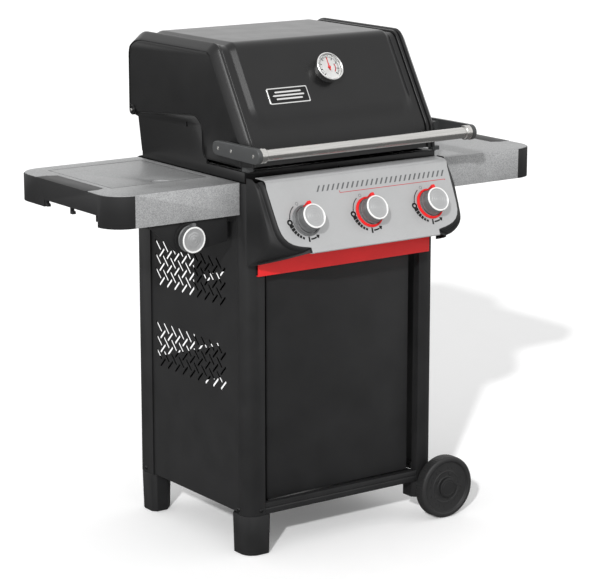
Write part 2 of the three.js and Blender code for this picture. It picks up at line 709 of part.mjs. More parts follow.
function makeControlPanel(cart) {
  const panel = new THREE.Group();
  panel.position.set(0, PANEL.y, PANEL.z);
  panel.rotation.x = Math.PI / 2 - PANEL_TILT;
  cart.add(panel);

  const face = prism("z", panelOutline(), -PANEL.sheet, 0);
  const [sin, cos] = [Math.sin(PANEL_TILT), Math.cos(PANEL_TILT)];
  // Directions in the panel's side view (up the slope, outward) for level and plumb sheet runs.
  const level = [sin, -cos];
  const plumb = [-cos, -sin];
  const run = ([a, b], from, length) => [from[0] + a * length, from[1] + b * length];
  const topStart = [PANEL.top - 3, -1];
  const topBend = [PANEL.top + 3, -4];
  const topWay = [Math.sin(PANEL_TILT + 0.2), -Math.cos(PANEL_TILT + 0.2)];
  const topRun = [topStart, topBend, run(topWay, topBend, 40)];
  const bottomStart = [PANEL.bottom + 1, -1];
  const lipEnd = run(plumb, bottomStart, 14);
  const lipRun = [bottomStart, lipEnd, run(level, lipEnd, 14)];
  const returnTop = prism("x", sheet(topRun, PANEL.sheet), -PANEL.halfTop, PANEL.halfTop);
  const returnBottom = prism("x", sheet(lipRun, PANEL.sheet), -PANEL.halfBottom, PANEL.halfBottom);
  const holes = KNOB_X.map((x) => rod([x, 0, -10], [x, 0, 10], 9, 12));
  piece(panel, "control_panel", cut(union(face, returnTop, returnBottom), ...holes), "silverPaint");

  // Gas manifold with one valve body behind each knob and the hose inlet at its right end.
  const pipe = rod([-222, -24, -48], [250, -24, -48], 9, 10);
  const inlet = rod([248, -24, -48], [266, -24, -48], 12, 6);
  const valves = KNOB_X.map((x) => box(x - 14, x + 14, -30, 14, -60, -24));
  const bores = KNOB_X.map((x) => rod([x, 0, -52], [x, 0, -15], KNOB.bore, 10));
  piece(panel, "gas_manifold", cut(union(pipe, inlet, ...valves), ...bores), "brass");

  KNOB_X.forEach((x, i) => {
    const name = KNOB_NAMES[i];
    const at = [x, 0, 0];
    const ring = cut(
      rod([0, 0, 0.4], [0, 0, BEZEL.height], BEZEL.outer, 28, BEZEL.outer - 2),
      rod([0, 0, -5], [0, 0, BEZEL.height + 5], BEZEL.inner, 28),
    );
    piece(panel, `bezel_${name}`, ring, i === 0 ? "knobGrey" : "red", at);

    const stem = rod([0, 0, -46], [0, 0, 28], KNOB.stem, 10);
    piece(panel, `valve_stem_${name}`, stem, "brass", at);

    const grip = rod([0, 0, KNOB.base], [0, 0, KNOB.height], KNOB.radius, 28, KNOB.radius - 2);
    const pointer = box(-3.5, 3.5, KNOB.radius - 8, KNOB.radius + 0.7, KNOB.base, KNOB.height - 1);
    const socket = rod([0, 0, 0], [0, 0, 33], KNOB.bore, 10);
    piece(panel, `knob_${name}`, cut(union(grip, pointer), socket), "knobGrey", at);
  });
}

// The black moulded ends of the control panel, hollow and open at the back.
function makePanelCaps(cart) {
  const side = [
    [-259.5, 955],
    [-306, 949],
    ...arc(-309, 938, 11, 80, 150, 3),
    [-383, 812],
    ...arc(-368, 800, 19, 165, 265, 6),
    [-330, 768],
    [-290, 752],
    [-259.5, 734],
  ];
  const inner = side.map(([y, z]) => [Math.max(y + 6, -372), z > 860 ? z - 5 : z + 4]);
  const hollow = [[-240, 950], ...inner.slice(1, -1), [-240, 738]];
  const w = CART.halfWidth + 1;
  const outer = prism("x", side, -w, -PANEL.halfBottom - GAP);
  const inside = prism("x", hollow, -w + 4, -PANEL.halfBottom + 40);

  // Everything under the silver panel is cleared, and the outer front corner is rounded off.
  const frameTurn = (geometryBody) =>
    geometryBody.rotate([90 - THREE.MathUtils.radToDeg(PANEL_TILT), 0, 0]).translate([0, PANEL.y, PANEL.z]);
  const bed = frameTurn(prism("z", panelOutline(0.6), -PANEL.sheet - 0.5, 30));
  const plan = [
    [-w, -200],
    [-PANEL.halfBottom, -200],
    [-PANEL.halfBottom, 0],
    ...arc(-w + 30, -34, 30, 90, 180, 6, 34),
  ];
  // The plan outline is swept up the panel's slope: X across, then outward as the second axis.
  const rounding = frameTurn(prism("y", plan, -220, 220));
  const topBed = box(-PANEL.halfTop - 0.6, 0, -320, -262, 943, 970);
  const railBed = box(-263.5, 0, -267.6, -200, 700, 752.6);
  const left = cut(cut(outer, inside).intersect(rounding), bed, topBed, railBed);
  const body = left.decompose().reduce((a, b) => (a.volume() > b.volume() ? a : b));
  piece(cart, "control_cap_left", body, "plastic");
  piece(cart, "control_cap_right", body.mirror([1, 0, 0]), "plastic");
}

// ---------------------------------------------------------------- lid

// Side outline of the lid: up the sloping front, over the top, down the back. Inset shrinks it.
function lidPath(inset = 0) {
  const front = LID_FRONT.y + inset * 1.15;
  const run = LID.top - inset - LID_FRONT.z;
  const crest = front + run * LID_SLOPE;
  const lean = THREE.MathUtils.radToDeg(Math.atan(LID_SLOPE));
  const small = 34 - inset / 2;
  const big = 66 - inset;
  const reach = small * Math.tan(THREE.MathUtils.degToRad((90 - lean) / 2));
  return [
    [front - LID_FRONT.flare, LID.lip],
    [front, LID_FRONT.z],
    ...arc(crest + reach, LID.top - inset - small, small, 180 - lean, 90, 5),
    ...arc(LID.rear - inset - big, LID.top - inset - big, big, 90, 0, 7),
    [LID.rear - inset - 2, HINGE.z + 6],
  ];
}

// The lower edge of a lid end: clear of the cookbox ear at the back, deep in front of it.
function capOutline(inset) {
  const path = lidPath(inset);
  return [
    ...path.slice(0, -1),
    [LID.rear - inset, HINGE.z],
    ...arc(HINGE.y, HINGE.z, HINGE.knuckle, 0, -135, 6),
    [236, 1052],
    [-26, 1076],
    ...arc(-30, 1036, 40, 85, 180, 5),
    [-72, LID.lip + 6],
    [-78, LID.lip],
  ].reverse();
}

function makeLid(cart) {
  const outerCap = capOutline(0);
  const w = LID.halfWidth;
  const inner = w - LID.capWidth;
  for (const [name, sign] of [["left", -1], ["right", 1]]) {
    const span = (a, b) => (sign < 0 ? [-b, -a] : [a, b]);
    const rim = prism("x", outerCap, ...span(inner, w - 6));
    const cheek = prism("x", capOutline(6), ...span(w - 6.5, w));
    const hollowPath = lidPath(4);
    const hollow = prism(
      "x",
      [...hollowPath.slice(0, -1), [LID.rear - 4, 900], [hollowPath[0][0], 900]].reverse(),
      ...span(inner - 5, w - 6),
    );
    const onHinge = (x) => [sign * x, HINGE.y, HINGE.z];
    const bore = rod(onHinge(w - 20), onHinge(w + 5), HINGE.bore, 12);
    const bumper = union(
      box(...span(w - 24, w - 4), -264, -244, 970, LID.lip + 1),
      rod([sign * (w - 14), -256, 966.5], [sign * (w - 14), -256, 971], 4, 12),
    );
    const seat = box(...span(w - 24, w - 4), -264, -244, LID.lip - 1, LID.lip + 8);
    const body = cut(union(cut(union(rim, cheek), hollow), bumper, seat), bore);
    piece(cart, `lid_end_cap_${name}`, body, "enamel");
  }

  const half = inner - 1;
  const shellPath = lidPath(LID.recess + LID.sheet / 2);
  const shell = prism("x", sheet(shellPath, LID.sheet), -half, half);
  // The raised middle: from a chamfer above the handle, up the front and over the top.
  const outside = lidPath(2);
  const under = lidPath(LID.recess + 1);
  const raisedHalf = 228;
  const onSlope = (path, z) => path[1][0] + (z - LID_FRONT.z) * LID_SLOPE;
  const chamferLow = [onSlope(under, 1062), 1062];
  const chamferHigh = [onSlope(outside, 1090), 1090];
  const raised = prism(
    "x",
    [chamferHigh, ...outside.slice(2, -3), ...under.slice(2, -3).reverse(), chamferLow],
    -raisedHalf,
    raisedHalf,
  );
  const slopeTurn = Math.atan(LID_SLOPE);
  const faceGroup = new THREE.Group();
  const faceY = onSlope(outside, GAUGE.z);
  faceGroup.position.set(0, faceY, GAUGE.z);
  faceGroup.rotation.x = Math.PI / 2 - slopeTurn;
  cart.add(faceGroup);

  const along = (reach) => [GAUGE.x, faceY + reach, GAUGE.z - reach * LID_SLOPE];
  const probeHole = rod(along(-20), along(30), 6, 16);
  piece(cart, "lid_shroud", cut(union(shell, raised), probeHole), "enamel");

  // Thermometer: cup with a recessed dial, and a probe that reaches through the lid.
  const cup = cut(rod([0, 0, 0.5], [0, 0, 24], 34, 28, 38), rod([0, 0, 17], [0, 0, 30], 33, 28));
  const probe = rod([0, 0, -50], [0, 0, 1], 4, 8);
  piece(faceGroup, "thermometer", union(cup, probe), "stainless", [GAUGE.x, 0, 0]);
  const needle = union(rod([0, 0, 17.5], [0, 0, 20], 4, 10), box(-1.4, 1.4, -8, 26, 17.8, 19.3));
  piece(faceGroup, "thermometer_needle", needle, "red", [GAUGE.x, 0, 0]);

  const badge = box(-60, 60, -21, 21, 0.5, 3.5);
  piece(faceGroup, "name_plate", badge, "stainless", [-124, -57, 0]);
}

function makeHandle(cart) {
  const { y, z, radius, ferrule, half, plate, rear } = HANDLE;
  const tube = rod([-half, y, z], [half, y, z], radius, 24);
  const ends = [-1, 1].map((sign) => rod([sign * (half - 18), y, z], [sign * half, y, z], ferrule, 24));
  piece(cart, "handle_tube", union(tube, ...ends), "stainless");

  const outline = [
    ...arc(y, z, ferrule + 1, 90, 270, 10),
    [rear + 12, z - ferrule + 1],
    ...arc(rear + 8, z, 17, -80, 80, 6),
    [rear + 12, z + ferrule - 1],
  ];
  for (const [name, sign] of [["left", -1], ["right", 1]]) {
    const span = (a, b) => (sign < 0 ? [-b, -a] : [a, b]);
    const arm = prism("x", outline, ...span(half + GAP, half + plate));
    const boss = box(...span(LID.halfWidth + GAP, half + 1), -232, -186, z - 14, z + 14);
    piece(cart, `handle_bracket_${name}`, union(arm, boss), "bracketGrey");
  }
}

// ---------------------------------------------------------------- assembly

const cart = new THREE.Group();
grill.add(cart);
makePostsAndFeet(cart);
makeSidePanels(cart);
makeRails(cart);
makeRearShield(cart);
makeBottomShelf(cart);
makeDoor(cart);
makeWheels(cart);
makeCookbox(cart);
makeGrates(cart);
makeHeatParts(cart);
makeGreaseTray(cart);
makeShelf(cart, "left");
makeShelf(cart, "right");
makeSideBurner(cart);
makeControlPanel(cart);
makePanelCaps(cart);
makeLid(cart);
makeHandle(cart);

export default grill;
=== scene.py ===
import math

import bmesh
import bpy
from mathutils import Matrix, Vector


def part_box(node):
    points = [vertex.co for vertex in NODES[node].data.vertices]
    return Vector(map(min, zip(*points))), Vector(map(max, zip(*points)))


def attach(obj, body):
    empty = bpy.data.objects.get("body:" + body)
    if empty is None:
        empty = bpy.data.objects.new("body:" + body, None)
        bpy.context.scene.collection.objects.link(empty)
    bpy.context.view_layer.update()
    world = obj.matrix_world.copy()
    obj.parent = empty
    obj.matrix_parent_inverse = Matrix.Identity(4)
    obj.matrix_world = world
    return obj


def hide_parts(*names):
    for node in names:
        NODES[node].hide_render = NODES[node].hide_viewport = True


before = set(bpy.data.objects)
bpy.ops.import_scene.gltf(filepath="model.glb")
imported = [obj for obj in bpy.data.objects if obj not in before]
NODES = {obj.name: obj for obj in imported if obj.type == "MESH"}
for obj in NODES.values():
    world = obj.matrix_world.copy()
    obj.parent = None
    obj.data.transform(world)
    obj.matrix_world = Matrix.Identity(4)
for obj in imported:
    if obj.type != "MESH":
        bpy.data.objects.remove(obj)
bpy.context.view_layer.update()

# ------------------------------------------------------------------ the cart's own frame
# Shapes are written in millimetres in the cart's frame: x across, y from the middle of the cart
# towards the back, z up from the ground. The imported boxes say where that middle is.

MM = 0.001
CART_Y = (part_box("post_front_left")[0].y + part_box("post_rear_left")[1].y) / 2


def at(x, y, z):
    """A point of the cart in the row frame's metres."""
    return Vector((x * MM, y * MM + CART_Y, z * MM))


def middle(node):
    low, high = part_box(node)
    return (low + high) / 2


def cart_mm(point):
    """A point of the row frame in the cart's millimetres."""
    return Vector((point.x / MM, (point.y - CART_Y) / MM, point.z / MM))


# ------------------------------------------------------------------ camera, floor and light

CAMERA_YAW = math.radians(35.44)
CAMERA_DOWN = math.radians(12.76)


def add_camera():
    """A long lens from the front left, a little above the lid."""
    data = bpy.data.cameras.new("camera")
    data.sensor_width = 36
    data.lens = 139.58
    data.clip_end = 100
    camera = bpy.data.objects.new("camera", data)
    camera.location = at(-3360.2, -4791.9, 1921.6)
    camera.rotation_euler = (math.pi / 2 - CAMERA_DOWN, 0, -CAMERA_YAW)
    bpy.context.scene.collection.objects.link(camera)
    bpy.context.scene.camera = camera


ROOM_SEEN = 1.02  # the white room as the camera and glossy surfaces see it
ROOM_LIGHT = 0.78  # the same room as it lights the grill and the floor
KEY_YAW, KEY_LIFT = math.radians(-46.6), math.radians(26.7)
FLOOR_HALF = 30.0
FLOOR_TONE = (0.95, 0.95, 0.95)
FLOOR_REFLECTED = (0.16, 0.16, 0.16, 1)


def add_world():
    """An even white room all round."""
    world = bpy.data.worlds.new("studio")
    world.use_nodes = True
    tree = world.node_tree
    seen = tree.nodes["Background"]
    lit = tree.nodes.new("ShaderNodeBackground")
    for background, strength in ((seen, ROOM_SEEN), (lit, ROOM_LIGHT)):
        background.inputs["Color"].default_value = (1, 1, 1, 1)
        background.inputs["Strength"].default_value = strength
    which = tree.nodes.new("ShaderNodeLightPath")
    mix = tree.nodes.new("ShaderNodeMixShader")
    tree.links.new(which.outputs["Is Diffuse Ray"], mix.inputs["Fac"])
    tree.links.new(seen.outputs["Background"], mix.inputs[1])
    tree.links.new(lit.outputs["Background"], mix.inputs[2])
    tree.links.new(mix.outputs["Shader"], tree.nodes["World Output"].inputs["Surface"])
    bpy.context.scene.world = world


def add_key():
    """A sun-like light from the left of the camera, which casts the shadow."""
    sun = bpy.data.lights.new("soft_key", "SUN")
    sun.energy = 2.6
    sun.angle = math.radians(2.2)
    lamp = bpy.data.objects.new("soft_key", sun)
    level = math.cos(KEY_LIFT)
    towards = Vector((math.sin(KEY_YAW) * level, -math.cos(KEY_YAW) * level, math.sin(KEY_LIFT)))
    lamp.rotation_euler = towards.to_track_quat("Z", "Y").to_euler()
    lamp.visible_glossy = False
    bpy.context.scene.collection.objects.link(lamp)


def add_soft_box():
    """A large lamp high on the left that only shows as a soft gloss."""
    data = bpy.data.lights.new("soft_box", "AREA")
    data.shape = "RECTANGLE"
    data.size, data.size_y = 3.0, 2.3
    data.energy = 135
    lamp = bpy.data.objects.new("soft_box", data)
    lamp.location = (-2.5, -3.0, 4.4)
    towards = Vector((0, -0.1, 1.0)) - lamp.location
    lamp.rotation_euler = towards.to_track_quat("-Z", "Y").to_euler()
    lamp.visible_diffuse = False
    bpy.context.scene.collection.objects.link(lamp)


def add_floor():
    """A plain pale floor, kept dark in the grill's own gloss as in a large room."""
    mesh = bpy.data.meshes.new("floor")
    corners = [(x * FLOOR_HALF, y * FLOOR_HALF, 0) for x, y in ((-1, -1), (1, -1), (1, 1), (-1, 1))]
    mesh.from_pydata(corners, [], [(0, 1, 2, 3)])
    floor = bpy.data.objects.new("floor", mesh)
    floor.location.z = -0.001
    pale = surface("floor_pale", FLOOR_TONE, 0.95, vary=0.01, bump=0.02, shine=0.1)
    mesh.materials.append(pale)
    tree = pale.node_tree
    dim = tree.nodes.new("ShaderNodeBsdfDiffuse")
    dim.inputs["Color"].default_value = FLOOR_REFLECTED
    ray = tree.nodes.new("ShaderNodeLightPath")
    pick = tree.nodes.new("ShaderNodeMixShader")
    shader = tree.nodes["Principled BSDF"]
    shader.inputs["Emission Color"].default_value = (1, 1, 1, 1)
    shader.inputs["Emission Strength"].default_value = 0.09
    tree.links.new(ray.outputs["Is Glossy Ray"], pick.inputs["Fac"])
    tree.links.new(shader.outputs["BSDF"], pick.inputs[1])
    tree.links.new(dim.outputs["BSDF"], pick.inputs[2])
    tree.links.new(pick.outputs["Shader"], tree.nodes["Material Output"].inputs["Surface"])
    bpy.context.scene.collection.objects.link(floor)


def add_stage():
    """The room, the two lamps and the floor; none of them belongs to the grill."""
    bpy.context.scene.view_settings.view_transform = "Standard"
    bpy.context.scene.view_settings.look = "None"
    add_world()
    add_key()
    add_soft_box()
    add_floor()


# ------------------------------------------------------------------ materials


def surface(name, colour, rough, metal=0.0, vary=0.1, scale=14.0, stretch=(1, 1, 1), bump=0.1,
            grain=700.0, depth=0.0002, coat=0.0, rough_vary=0.06, specks=0.0, speck_scale=900.0,
            shine=0.5):
    """A procedural finish: cloudy colour, uneven gloss and a fine grain, with optional light specks."""
    material = bpy.data.materials.new(name)
    material.use_nodes = True
    tree = material.node_tree
    new, link = tree.nodes.new, tree.links.new
    shader = tree.nodes["Principled BSDF"]
    shader.inputs["Metallic"].default_value = metal
    shader.inputs["Coat Weight"].default_value = coat
    shader.inputs["Coat Roughness"].default_value = 0.12
    shader.inputs["Specular IOR Level"].default_value = shine

    place = new("ShaderNodeTexCoord")
    mapping = new("ShaderNodeMapping")
    mapping.inputs["Scale"].default_value = stretch
    link(place.outputs["Object"], mapping.inputs["Vector"])

    cloud = new("ShaderNodeTexNoise")
    cloud.inputs["Scale"].default_value = scale
    cloud.inputs["Detail"].default_value = 5
    link(mapping.outputs["Vector"], cloud.inputs["Vector"])
    ramp = new("ShaderNodeValToRGB")
    ramp.color_ramp.elements[0].position = 0.3
    ramp.color_ramp.elements[1].position = 0.7
    ramp.color_ramp.elements[0].color = (*[c * (1 - vary) for c in colour], 1)
    ramp.color_ramp.elements[1].color = (*[min(1, c * (1 + vary)) for c in colour], 1)
    link(cloud.outputs["Fac"], ramp.inputs["Fac"])
    tone = ramp.outputs["Color"]
    if specks:
        speck = new("ShaderNodeTexNoise")
        speck.inputs["Scale"].default_value = speck_scale
        speck.inputs["Detail"].default_value = 3
        link(place.outputs["Object"], speck.inputs["Vector"])
        reach = new("ShaderNodeMapRange")
        reach.inputs["From Min"].default_value = 0.35
        reach.inputs["From Max"].default_value = 0.65
        reach.inputs["To Min"].default_value = 1 - specks
        reach.inputs["To Max"].default_value = 1 + specks
        link(speck.outputs["Fac"], reach.inputs["Value"])
        blend = new("ShaderNodeVectorMath")
        blend.operation = "SCALE"
        link(tone, blend.inputs[0])
        link(reach.outputs["Result"], blend.inputs["Scale"])
        tone = blend.outputs["Vector"]
    link(tone, shader.inputs["Base Color"])

    gloss = new("ShaderNodeMapRange")
    gloss.inputs["To Min"].default_value = max(0.02, rough - rough_vary)
    gloss.inputs["To Max"].default_value = min(1, rough + rough_vary)
    link(cloud.outputs["Fac"], gloss.inputs["Value"])
    link(gloss.outputs["Result"], shader.inputs["Roughness"])

    fine = new("ShaderNodeTexNoise")
    fine.inputs["Scale"].default_value = grain
    fine.inputs["Detail"].default_value = 2
    link(mapping.outputs["Vector"], fine.inputs["Vector"])
    relief = new("ShaderNodeBump")
    relief.inputs["Strength"].default_value = bump
    relief.inputs["Distance"].default_value = depth
    link(fine.outputs["Fac"], relief.inputs["Height"])
    link(relief.outputs["Normal"], shader.inputs["Normal"])
    return material


def make_glass():
    material = surface("dial_glass", (1, 1, 1), 0.04, vary=0.0, bump=0.01, rough_vary=0.02)
    shader = material.node_tree.nodes["Principled BSDF"]
    shader.inputs["Transmission Weight"].default_value = 1.0
    shader.inputs["IOR"].default_value = 1.05
    return material


LOOKS = {
    "enamel": surface("black_enamel", (0.006, 0.006, 0.0062), 0.3, coat=0.12, vary=0.1, bump=0.1, grain=260,
                      depth=0.0003, shine=0.32),
    "black_paint": surface("black_powder_coat", (0.0135, 0.0135, 0.0139), 0.44, vary=0.12, bump=0.35,
                           grain=1500,
                           depth=0.0001, shine=0.32),
    "plastic": surface("black_moulded_plastic", (0.012, 0.012, 0.0124), 0.5, vary=0.12, bump=0.4, grain=1200,
                       depth=0.00012, shine=0.36),
    "silver": surface("silver_paint", (0.42, 0.423, 0.425), 0.42, 0.4, vary=0.03, bump=0.15, grain=1800,
                      specks=0.05),
    "shelf_top": surface("speckled_silver", (0.315, 0.318, 0.32), 0.44, 0.2, vary=0.06, bump=0.5, grain=520,
                         depth=0.0003, specks=0.3, speck_scale=560),
    "steel": surface("brushed_steel", (0.60, 0.59, 0.57), 0.25, 1.0, vary=0.1, stretch=(0.02, 1, 1),
                     scale=520,
                     bump=0.25, grain=900, depth=0.00005),
    "polished": surface("polished_ring", (0.78, 0.78, 0.77), 0.18, 1.0, vary=0.04, bump=0.05),
    "red": surface("red_paint", (0.66, 0.014, 0.015), 0.42, vary=0.06, bump=0.2, grain=1400, shine=0.3),
    "iron": surface("cast_iron", (0.014, 0.014, 0.014), 0.62, bump=0.8, grain=420, depth=0.0004, shine=0.35),
    "knob": surface("knob_silver", (0.40, 0.403, 0.405), 0.34, 0.5, vary=0.04, bump=0.1, grain=1500),
    # A darker copy of the knob silver: painted shade for the knobs' ribbed sides, also laid on the left
    # bezel ring and on the side knob's pointer.
    "barrel": surface("knob_silver_painted_shade", (0.17, 0.172, 0.174), 0.36, 0.4, vary=0.05, bump=0.12, grain=1400),
    "bracket": surface("bracket_grey", (0.075, 0.077, 0.078), 0.42, 0.5, vary=0.08, bump=0.4, grain=1100,
                       shine=0.4),
    "brass": surface("brass", (0.50, 0.36, 0.14), 0.3, 1.0, vary=0.15, bump=0.2),
    "dial": surface("dial_white", (0.62, 0.62, 0.61), 0.45, vary=0.02, bump=0.05, shine=0.3),
    "ink": surface("ink_black", (0.008, 0.008, 0.008), 0.55, bump=0.1, shine=0.25),
    "ink_grey": surface("ink_grey", (0.115, 0.118, 0.12), 0.5, bump=0.1, shine=0.3),
    "ink_red": surface("ink_red", (0.46, 0.02, 0.03), 0.5, bump=0.1, shine=0.3),
    "white_ring": surface("white_ring", (0.80, 0.80, 0.79), 0.3, 0.2, vary=0.02, bump=0.05),
    "rubber": surface("wheel_plastic", (0.017, 0.017, 0.0173), 0.5, vary=0.12, bump=0.5, grain=1000,
                      depth=0.00015,
                      shine=0.4),
    "glass": make_glass(),
}

# ------------------------------------------------------------------ shapes


class Shape:
    """Closed solids collected into one mesh, each with its own look."""

    def __init__(self):
        self.points, self.faces, self.looks = [], [], []

    def add(self, part, look=0):
        points, faces = part
        base = len(self.points)
        self.points += [Vector(p) for p in points]
        self.faces += [[base + i for i in face] for face in faces]
        self.looks += [look] * len(faces)
        return self


def ring_faces(rows, count, closed=True):
    """Faces between rows of count points each."""
    faces = []
    span = count if closed else count - 1
    for r in range(rows - 1):
        for i in range(span):
            j = (i + 1) % count
            a = r * count
            faces.append([a + i, a + j, a + count + j, a + count + i])
    return faces


def loft(rings):
    """A closed solid through rings of points, capped at both ends."""
    count = len(rings[0])
    points = [Vector(p) for ring in rings for p in ring]
    faces = ring_faces(len(rings), count)
    faces.append(list(range(count))[::-1])
    last = (len(rings) - 1) * count
    faces.append([last + i for i in range(count)])
    return points, faces


def hoop(rings):
    """A closed solid whose last ring joins its first."""
    count = len(rings[0])
    points = [Vector(p) for ring in rings for p in ring]
    faces = ring_faces(len(rings), count)
    last = (len(rings) - 1) * count
    for i in range(count):
        j = (i + 1) % count
        faces.append([last + i, last + j, j, i])
    return points, faces


def axes(origin, normal, up):
    """A frame whose z is normal and whose y is as near up as it can be."""
    z = Vector(normal).normalized()
    x = Vector(up).cross(z).normalized()
    y = z.cross(x)
    matrix = Matrix((x, y, z)).transposed().to_4x4()
    matrix.translation = origin
    return matrix


def turned(place, radius, angle, height):
    """A point at a radius, an angle in radians and a height of a frame, in mm."""
    return place @ Vector((radius * math.cos(angle) * MM, radius * math.sin(angle) * MM, height * MM))


def lathe(place, profile, steps=48):
    """A turned solid: profile is [(radius, height)] in mm along the frame's z, from axis to axis."""
    rings = []
    for radius, height in profile:
        r = max(radius, 0.001)
        rings.append([turned(place, r, 2 * math.pi * i / steps, height) for i in range(steps)])
    return loft(rings)


def turned_ring(place, profile, steps=48):
    """A turned ring: profile is a closed loop of (radius, height)."""
    rings = []
    for i in range(steps):
        rings.append([turned(place, r, 2 * math.pi * i / steps, h) for r, h in profile])
    return hoop(rings)


def slab(place, outline, low, high):
    """An outline in the frame's x and y, in mm, between two heights."""
    rings = [[place @ Vector((x * MM, y * MM, h * MM)) for x, y in outline] for h in (low, high)]
    return loft(rings)


def soft_slab(place, outline, low, high, edge, steps=4):
    """A slab whose upper rim is rounded. The outline must be convex or gently curved."""
    levels = [(0, low)]
    for k in range(steps + 1):
        turn = math.pi / 2 * k / steps
        levels.append((edge * (1 - math.cos(turn)), high - edge + edge * math.sin(turn)))
    rings = []
    for inset, height in levels:
        rings.append([place @ Vector((x * MM, y * MM, height * MM)) for x, y in inset_loop(outline, inset)])
    return loft(rings)


def inset_loop(outline, inset):
    """Moves a closed, counter-clockwise outline inwards by inset."""
    count = len(outline)
    moved = []
    for i, (x, y) in enumerate(outline):
        ax, ay = outline[i - 1]
        bx, by = outline[(i + 1) % count]
        ux, uy = x - ax, y - ay
        vx, vy = bx - x, by - y
        ul, vl = math.hypot(ux, uy) or 1, math.hypot(vx, vy) or 1
        nx, ny = -(uy / ul + vy / vl), ux / ul + vx / vl
        nl = math.hypot(nx, ny) or 1
        nx, ny = nx / nl, ny / nl
        cosine = max(0.5, nx * -uy / ul + ny * ux / ul)
        moved.append((x + nx * inset / cosine, y + ny * inset / cosine))
    return moved


def polar(radius, degrees):
    """A flat point at a radius and an angle."""
    angle = math.radians(degrees)
    return radius * math.cos(angle), radius * math.sin(angle)


def arc(cx, cy, radius, start, end, steps=8):
    """Points round a centre from one angle to another, in degrees."""
    spots = [polar(radius, start + (end - start) * i / steps) for i in range(steps + 1)]
    return [(cx + x, cy + y) for x, y in spots]


def block(low, high):
    """A box between two corners in the cart's millimetres."""
    rings = []
    for z in (low[2], high[2]):
        rings.append([
            at(low[0], low[1], z), at(high[0], low[1], z), at(high[0], high[1], z), at(low[0], high[1], z),
        ])
    return loft(rings)


def bar(points, radius, sides=12):
    """A round bar through points of the row frame; radius in mm."""
    path = [Vector(p) for p in points]
    rings = []
    for i, p in enumerate(path):
        along = (path[min(i + 1, len(path) - 1)] - path[max(i - 1, 0)]).normalized()
        helper = Vector((0, 0, 1)) if abs(along.z) < 0.9 else Vector((1, 0, 0))
        place = axes(p, along, helper)
        rings.append([turned(place, radius, 2 * math.pi * k / sides, 0) for k in range(sides)])
    return loft(rings)


def make(name, shape, looks, body, replaces=(), bevel=0.0, angle=32):
    """Turns a Shape into a piece that rides on a body."""
    mesh = bpy.data.meshes.new(name)
    mesh.from_pydata(shape.points, [], shape.faces)
    for i, look in enumerate(shape.looks):
        mesh.polygons[i].material_index = look
    for look in looks:
        mesh.materials.append(LOOKS[look])
    build = bmesh.new()
    build.from_mesh(mesh)
    bmesh.ops.remove_doubles(build, verts=build.verts, dist=2e-6)
    bmesh.ops.dissolve_degenerate(build, edges=build.edges, dist=1e-6)
    bmesh.ops.recalc_face_normals(build, faces=build.faces)
    build.to_mesh(mesh)
    build.free()
    mesh.polygons.foreach_set("use_smooth", [True] * len(mesh.polygons))
    mesh.set_sharp_from_angle(angle=math.radians(angle))
    obj = bpy.data.objects.new(name, mesh)
    bpy.context.scene.collection.objects.link(obj)
    if bevel:
        soften(obj, bevel, angle)
    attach(obj, body)
    if replaces:
        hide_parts(*replaces)
    return obj


def soften(obj, width, angle=32):
    """Rounds the hard edges and keeps the flat faces flat."""
    edge = obj.modifiers.new("edges", "BEVEL")
    edge.width = width * MM
    edge.segments = 2
    edge.limit_method = "ANGLE"
    edge.angle_limit = math.radians(angle)
    edge.harden_normals = True
    edge.use_clamp_overlap = True


def dress(node, look, bevel=0.0):
    """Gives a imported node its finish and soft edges; its own vertices stay."""
    obj = NODES[node]
    mesh = obj.data
    mesh.materials.clear()
    mesh.materials.append(LOOKS[look])
    mesh.polygons.foreach_set("use_smooth", [True] * len(mesh.polygons))
    weld = obj.modifiers.new("weld", "WELD")
    weld.merge_threshold = 1e-5
    flat = obj.modifiers.new("flat", "DECIMATE")
    flat.decimate_type = "DISSOLVE"
    flat.angle_limit = math.radians(0.5)
    if bevel:
        soften(obj, bevel)
    split = obj.modifiers.new("split", "EDGE_SPLIT")
    split.split_angle = math.radians(38)


# ------------------------------------------------------------------ carried-over nodes

